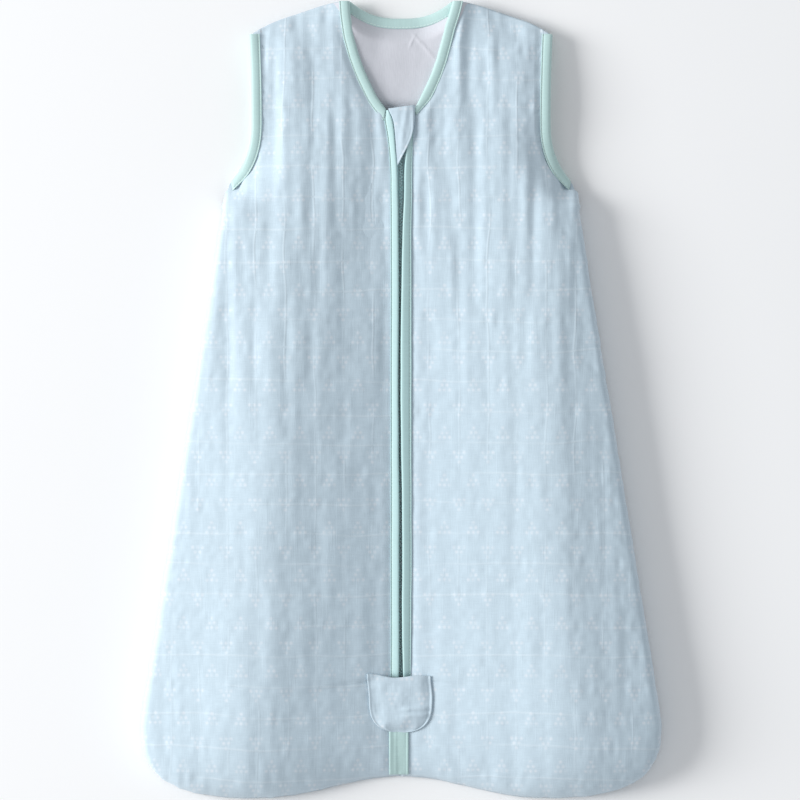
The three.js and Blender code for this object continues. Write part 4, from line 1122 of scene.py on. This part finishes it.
def make_pocket():
    """The slider pocket: sewn at its sides and foot, slack and open at its mouth."""
    down = np.linspace(0, 1, 40)[:, None]
    across = np.linspace(-1, 1, 58)[None]
    half_width = POCKET_HALF * np.clip(1 - down ** 5.4, 0.0012, 1) ** 0.5
    centre = mix(-1.9, -0.3, ease(down / 0.35)) * (1 - down ** 3)
    x = centre + across * half_width
    # The mouth hangs down in its middle and a little at the right
    mouth = MOUTH_Y + 4.6 - 3.6 * bell(across + 0.12, 0.5) - 2.2 * (across > 0) * across
    y = mix(mouth, MOUTH_Y - POCKET_DEPTH, down ** 0.92)

    # From its sewn edge the cloth climbs over the slider's bridge, and folds across its right half
    seat = seat_under(x, y, reach=1.6, passes=3)
    inward = np.minimum((1 - np.abs(across)) * half_width, (1 - down) * 50)
    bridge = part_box("zip_slider")[1].z / MM + 0.5
    slack = mix(seat + 0.45, np.maximum(seat + 0.45, bridge), ease(inward / 13))
    folds = bell(down - 0.55, 0.04) + bell(down - 0.67, 0.045)
    folds = 1.7 * folds * ease((across + 0.1) / 0.4) * ease((0.95 - across) / 0.2)
    soft = 0.5 * ripple(131, x / 11, y / 9) + 0.8 * ripple(132, x / 19, y / 16)
    z = slack + ease(inward / 9) * (0.5 + soft) + folds
    lowest = mix(seat + 0.4, np.maximum(seat + 0.4, bridge - 0.2), ease((inward - 9) / 9))
    under = points_at(x, y, np.maximum(z, lowest))

    # The turned edge stands up, and its stitches pull in beside it
    hem = 0.75 * bell(inward - 0.9, 0.75) - 0.45 * bell(inward - 2.5, 0.6)
    thickness = mix(0.55, 1.05, ease(inward / 5)) + hem * mix(0.4, 0.9, ease((across + 0.5) / 0.8))
    over = raised(under, thickness + 0.16 * ripple(133, x / 3, y / 3) * ease(inward / 4))
    places = points_at(x + 8, y - HEM_CENTRE + 4)
    panes = np.full(places.shape, 0.5)
    grids = [grid[::-1] for grid in (under, over, places, panes)]
    pocket = cloth_sheet("slider_pocket", grids[0], grids[1], finish_of("muslin"), grids[2], grids[3])
    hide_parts("zip_pocket")
    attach(pocket, "bag")


# The free edge of the guard, from its tip up: (y, x)
GUARD_EDGE = [(209.5, -2.8), (216.5, 0.9), (222, 3.9), (226.5, 6.3), (233.5, 9.6), (240, 11.3), (247, 12.1),
              (258, 12.5), (264, 12.7)]
GUARD_LENGTH = 50
GUARD_LOW, GUARD_HIGH = 21.1, 22.45


def make_guard():
    """The cloth guard over the top of the zip: tucked under the left strip, free on the right."""
    y = np.linspace(ZIP_TOP_Y - GUARD_LENGTH, ZIP_TOP_Y + 0.4, 60)[:, None]
    across = np.linspace(0, 1, 26)[None]
    sewn = 0.35 - zip_edge(-1, np.minimum(y, ZIP_TOP_Y))
    free = np.maximum(np.interp(y, *np.transpose(GUARD_EDGE)), sewn + 0.5)
    x = mix(sewn, free, across)
    y = y + across * 3.2 * ease((y - ZIP_TOP_Y + 40) / 40)
    # From its sewn edge the guard rises onto the strips and turns down past the right one
    rise = np.clip((x - sewn) / 8.5, 0, 1) ** 0.8
    z = mix(GUARD_LOW, GUARD_HIGH, rise) - 1.2 * ease((x - 10.6) / 1.8)
    crown = mix(0.0, 5.0, (y - ZIP_TOP_Y + 40) / 40)
    z = z + 0.5 * bell(x - crown, 2.6) * ease((y - ZIP_TOP_Y + 46) / 26)
    z = z + 0.35 * ripple(151, x / 4, y / 14) * rise
    under = points_at(x, y, z)
    inward = (1 - across) * (free - sewn)
    hem = 0.14 * bell(inward - 0.8, 0.6) - 0.12 * bell(inward - 2.1, 0.5)
    over = raised(under, 0.85 + hem + 0.08 * ripple(152, x / 2.5, y / 2.5))
    places = points_at(x + 9, y - HEM_CENTRE + 3)
    panes = np.full(places.shape, 0.5)
    guard = cloth_sheet("zip_guard_cloth", under, over, finish_of("muslin"), places, panes)
    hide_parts("zip_guard")
    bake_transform(guard)


TAIL_LEFT, TAIL_RIGHT = -10.6, 6.9
TAIL_TOP = MOUTH_Y - 46.4


def make_tail():
    """The flat strip of binding over the seam below the pocket."""
    rows = np.linspace(HEM_CENTRE + 0.4, TAIL_TOP, 30)[:, None]
    across = np.linspace(0, 1, 24)[None]
    x, y = np.broadcast_arrays(mix(TAIL_LEFT, TAIL_RIGHT, across), rows)
    under = points_at(x, y, seat_under(x, y, reach=1.2, passes=4) + 0.3)
    # A fold stands a third of the way across, and the right edge is turned and stitched
    ridge = 0.3 * bell(across - 0.34, 0.06) + 0.35 * bell(across - 0.95, 0.035)
    dip = -0.25 * bell(across - 0.87, 0.03)
    edge = np.clip(np.minimum(across, 1 - across) / 0.06, 0, 1) ** 0.5
    over = raised(under, 0.35 + 0.75 * edge + ridge + dip)
    tail = cloth_sheet("seam_strip", under, over, finish_of("binding"), points_at(y - HEM_CENTRE, x))
    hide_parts("binding_tail")
    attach(tail, "bag")


# Studio, in metres

WINDOW_PLACE = (-5.6, 0.7, 2.6)
WINDOW_SIZE = 3.0
FLOOR_HALF = 6.0
FLOOR_DROP = 0.0002
SENSOR_WIDTH = 36
ROOM_COLOUR = (0.93, 0.96, 1.0, 1)


def place_light(power):
    """One large window on the left, turned to the middle of the bag."""
    data = bpy.data.lights.new("window_left", "AREA")
    data.shape = "RECTANGLE"
    data.size = data.size_y = WINDOW_SIZE
    data.energy = power
    light = bpy.data.objects.new("window_left", data)
    bpy.context.scene.collection.objects.link(light)
    light.location = WINDOW_PLACE
    light.rotation_euler = (-Vector(WINDOW_PLACE)).to_track_quat("-Z", "Y").to_euler()


def make_stage():
    stage = bpy.context.scene.bag_stage
    data = bpy.data.cameras.new("front_camera")
    data.sensor_width = SENSOR_WIDTH
    data.lens = SENSOR_WIDTH * stage.camera_height / stage.frame_width
    data.clip_end = 50
    camera = bpy.data.objects.new("front_camera", data)
    bpy.context.scene.collection.objects.link(camera)
    camera.location = (*stage.frame_centre, stage.camera_height)
    bpy.context.scene.camera = camera
    bpy.context.scene.view_settings.view_transform = "Standard"

    side = FLOOR_HALF / MM
    corners = [(-side, -side, 0), (side, -side, 0), (side, side, 0), (-side, side, 0)]
    floor = new_piece("floor", corners, [(0, 1, 2, 3)], floor_finish())
    floor.location.z = -FLOOR_DROP

    world = bpy.data.worlds.new("studio")
    world.use_nodes = True
    background = world.node_tree.nodes["Background"]
    background.inputs[0].default_value = ROOM_COLOUR
    background.inputs[1].default_value = stage.world_strength
    bpy.context.scene.world = world
    place_light(stage.key_power)


# The add-on

def length(name, description, default):
    return FloatProperty(name=name, description=description, default=default, unit="LENGTH")


def colour(name, description, default):
    return FloatVectorProperty(name=name, description=description, default=default, subtype="COLOR")


class BagShape(bpy.types.PropertyGroup):
    foot_crest: length("Foot height", "Height of the ridge over the feet", 0.0445)
    waist_crest: length("Waist height", "Height of the ridge at the waist", 0.037)
    underarm_crest: length("Underarm height", "Height of the ridge at the underarm", 0.027)


class BagCloth(bpy.types.PropertyGroup):
    pane_width: length("Pane width", "Between two quilting lines, across", 0.0262)
    pane_length: length("Pane length", "Between two quilting lines, along", 0.0272)
    pucker_depth: length("Pucker depth", "Relief of the quilting", 0.0007)
    pleat_depth: length("Pleat depth", "Relief of the long soft folds", 0.0019)
    thread_pitch: length("Thread pitch", "Width of a visible thread", 0.0009)
    dot_pitch: length("Print pitch", "Between two triangles of dots", 0.0265)
    dot_rows: length("Print row pitch", "Between two rows of the print", 0.0212)
    dot_step: length("Dot step", "Between two dots", 0.0045)
    dot_radius: length("Dot radius", "Size of a dot", 0.0015)
    dot_strength: FloatProperty(name="Dot strength", description="How far a dot covers the cloth",
                                default=0.5, subtype="FACTOR")
    stitch_length: length("Stitch length", "Between two stitches", 0.003)
    muslin_colour: colour("Muslin", "Colour of the outer cloth", (0.565, 0.685, 0.765))
    # Painted highlight: the pale colour laid along the quilting lines stands for light caught by the pucker
    # ridges; the ridges are not worn paler
    line_highlight_colour: colour("Quilting line", "Colour of a worn pucker", (0.8, 0.88, 0.93))
    dot_colour: colour("Print", "Colour of the dots", (0.84, 0.86, 0.9))
    binding_colour: colour("Binding", "Colour of the neck and armhole bindings", (0.51, 0.7, 0.68))
    strip_colour: colour("Zip strip", "Colour of the strips beside the zip", (0.5, 0.71, 0.71))
    stitch_colour: colour("Stitches", "Colour of the sewing thread", (0.76, 0.92, 0.87))
    lining_colour: colour("Lining", "Colour of the lining", (0.64, 0.65, 0.7))


class BagZip(bpy.types.PropertyGroup):
    tooth_pitch: length("Tooth pitch", "Between two teeth of one row", 0.003)
    tape_colour: colour("Tape", "Colour of the zip tape", (0.72, 0.93, 0.96))
    teeth_colour: colour("Teeth", "Colour of the teeth", (0.74, 0.95, 0.97))
    slider_colour: colour("Slider", "Colour of the slider and pull", (0.78, 0.86, 0.87))


class BagStage(bpy.types.PropertyGroup):
    camera_height: length("Camera height", "Height of the camera", 3.6)
    frame_width: length("Frame width", "Width seen at the floor", 0.72)
    frame_centre: FloatVectorProperty(name="Frame centre", description="Point under the camera", size=2,
                                      default=(-0.0009, -0.0009))
    key_power: FloatProperty(name="Key power", description="Power of the light on the left", default=425.0,
                             unit="POWER")
    world_strength: FloatProperty(name="Room light", description="Strength of the light from all round",
                                  default=0.54)
    floor_colour: colour("Floor", "Colour of the floor", (0.96, 0.96, 0.96))


class BAG_OT_stage(bpy.types.Operator):
    """Sets up the camera, the floor and the lights"""
    bl_idname = "bag.make_stage"
    bl_label = "Studio"

    def execute(self, context):
        make_stage()
        return {"FINISHED"}


class BAG_OT_back(bpy.types.Operator):
    """Builds the quilted back and its lining"""
    bl_idname = "bag.make_back"
    bl_label = "Back"

    def execute(self, context):
        make_back()
        make_back_lining()
        return {"FINISHED"}


class BAG_OT_front(bpy.types.Operator):
    """Builds both quilted halves of the front and their linings"""
    bl_idname = "bag.make_front"
    bl_label = "Front halves"

    def execute(self, context):
        for side, sign in SIDES:
            make_front(side, sign)
            make_front_lining(side, sign)
        return {"FINISHED"}


class BAG_OT_neck(bpy.types.Operator):
    """Builds the bindings round the neck"""
    bl_idname = "bag.make_neck_bindings"
    bl_label = "Neck bindings"

    def execute(self, context):
        for side, sign in SIDES:
            make_front_neck_binding(side, sign)
        make_back_neck_binding()
        return {"FINISHED"}


class BAG_OT_armholes(bpy.types.Operator):
    """Builds the bindings round the armholes"""
    bl_idname = "bag.make_armhole_bindings"
    bl_label = "Armhole bindings"

    def execute(self, context):
        for side, sign in SIDES:
            make_armhole_binding(side, sign)
        return {"FINISHED"}


class BAG_OT_strips(bpy.types.Operator):
    """Builds the bound strips beside the zip"""
    bl_idname = "bag.make_zip_strips"
    bl_label = "Zip strips"

    def execute(self, context):
        for side, sign in SIDES:
            make_zip_strips(side, sign)
        return {"FINISHED"}


class BAG_OT_zip(bpy.types.Operator):
    """Builds the zip's tapes and teeth, and finishes its hard pieces"""
    bl_idname = "bag.make_zip"
    bl_label = "Zip"

    def execute(self, context):
        for side, sign in SIDES:
            make_tapes(side, sign)
            make_teeth(side, sign)
        dress_nodes()
        return {"FINISHED"}


class BAG_OT_pocket(bpy.types.Operator):
    """Builds the pocket that hides the slider"""
    bl_idname = "bag.make_pocket"
    bl_label = "Slider pocket"

    def execute(self, context):
        make_pocket()
        return {"FINISHED"}


class BAG_OT_guard(bpy.types.Operator):
    """Builds the guard over the top of the zip"""
    bl_idname = "bag.make_guard"
    bl_label = "Zip guard"

    def execute(self, context):
        make_guard()
        return {"FINISHED"}


class BAG_OT_tail(bpy.types.Operator):
    """Builds the strip over the seam below the pocket"""
    bl_idname = "bag.make_tail"
    bl_label = "Seam strip"

    def execute(self, context):
        make_tail()
        return {"FINISHED"}


STEPS = (BAG_OT_stage, BAG_OT_back, BAG_OT_front, BAG_OT_neck, BAG_OT_armholes, BAG_OT_strips, BAG_OT_zip,
         BAG_OT_pocket, BAG_OT_guard, BAG_OT_tail)


class BAG_PT_panel(bpy.types.Panel):
    """Lists the sizes and the pieces of the sleeping bag"""
    bl_idname = "BAG_PT_panel"
    bl_label = "Sleeping bag"
    bl_space_type = "VIEW_3D"
    bl_region_type = "UI"
    bl_category = "Sleeping bag"

    def draw(self, context):
        for name, _ in GROUPS:
            group = getattr(context.scene, name)
            box = self.layout.box()
            for key in group.bl_rna.properties.keys():
                if key not in ("rna_type", "name"):
                    box.prop(group, key)
        for step in STEPS:
            self.layout.operator(step.bl_idname, text=step.bl_label)


GROUPS = (("bag_shape", BagShape), ("bag_cloth", BagCloth), ("bag_zip", BagZip), ("bag_stage", BagStage))
CLASSES = (*(group for _, group in GROUPS), *STEPS, BAG_PT_panel)


def register():
    for made in CLASSES:
        bpy.utils.register_class(made)
    for name, group in GROUPS:
        setattr(bpy.types.Scene, name, PointerProperty(type=group))


def unregister():
    for name, _ in GROUPS:
        delattr(bpy.types.Scene, name)
    for made in reversed(CLASSES):
        bpy.utils.unregister_class(made)


def main():
    register()
    for step in STEPS:
        area, word = step.bl_idname.split(".")
        getattr(getattr(bpy.ops, area), word)()


if __name__ == "__main__":
    main()
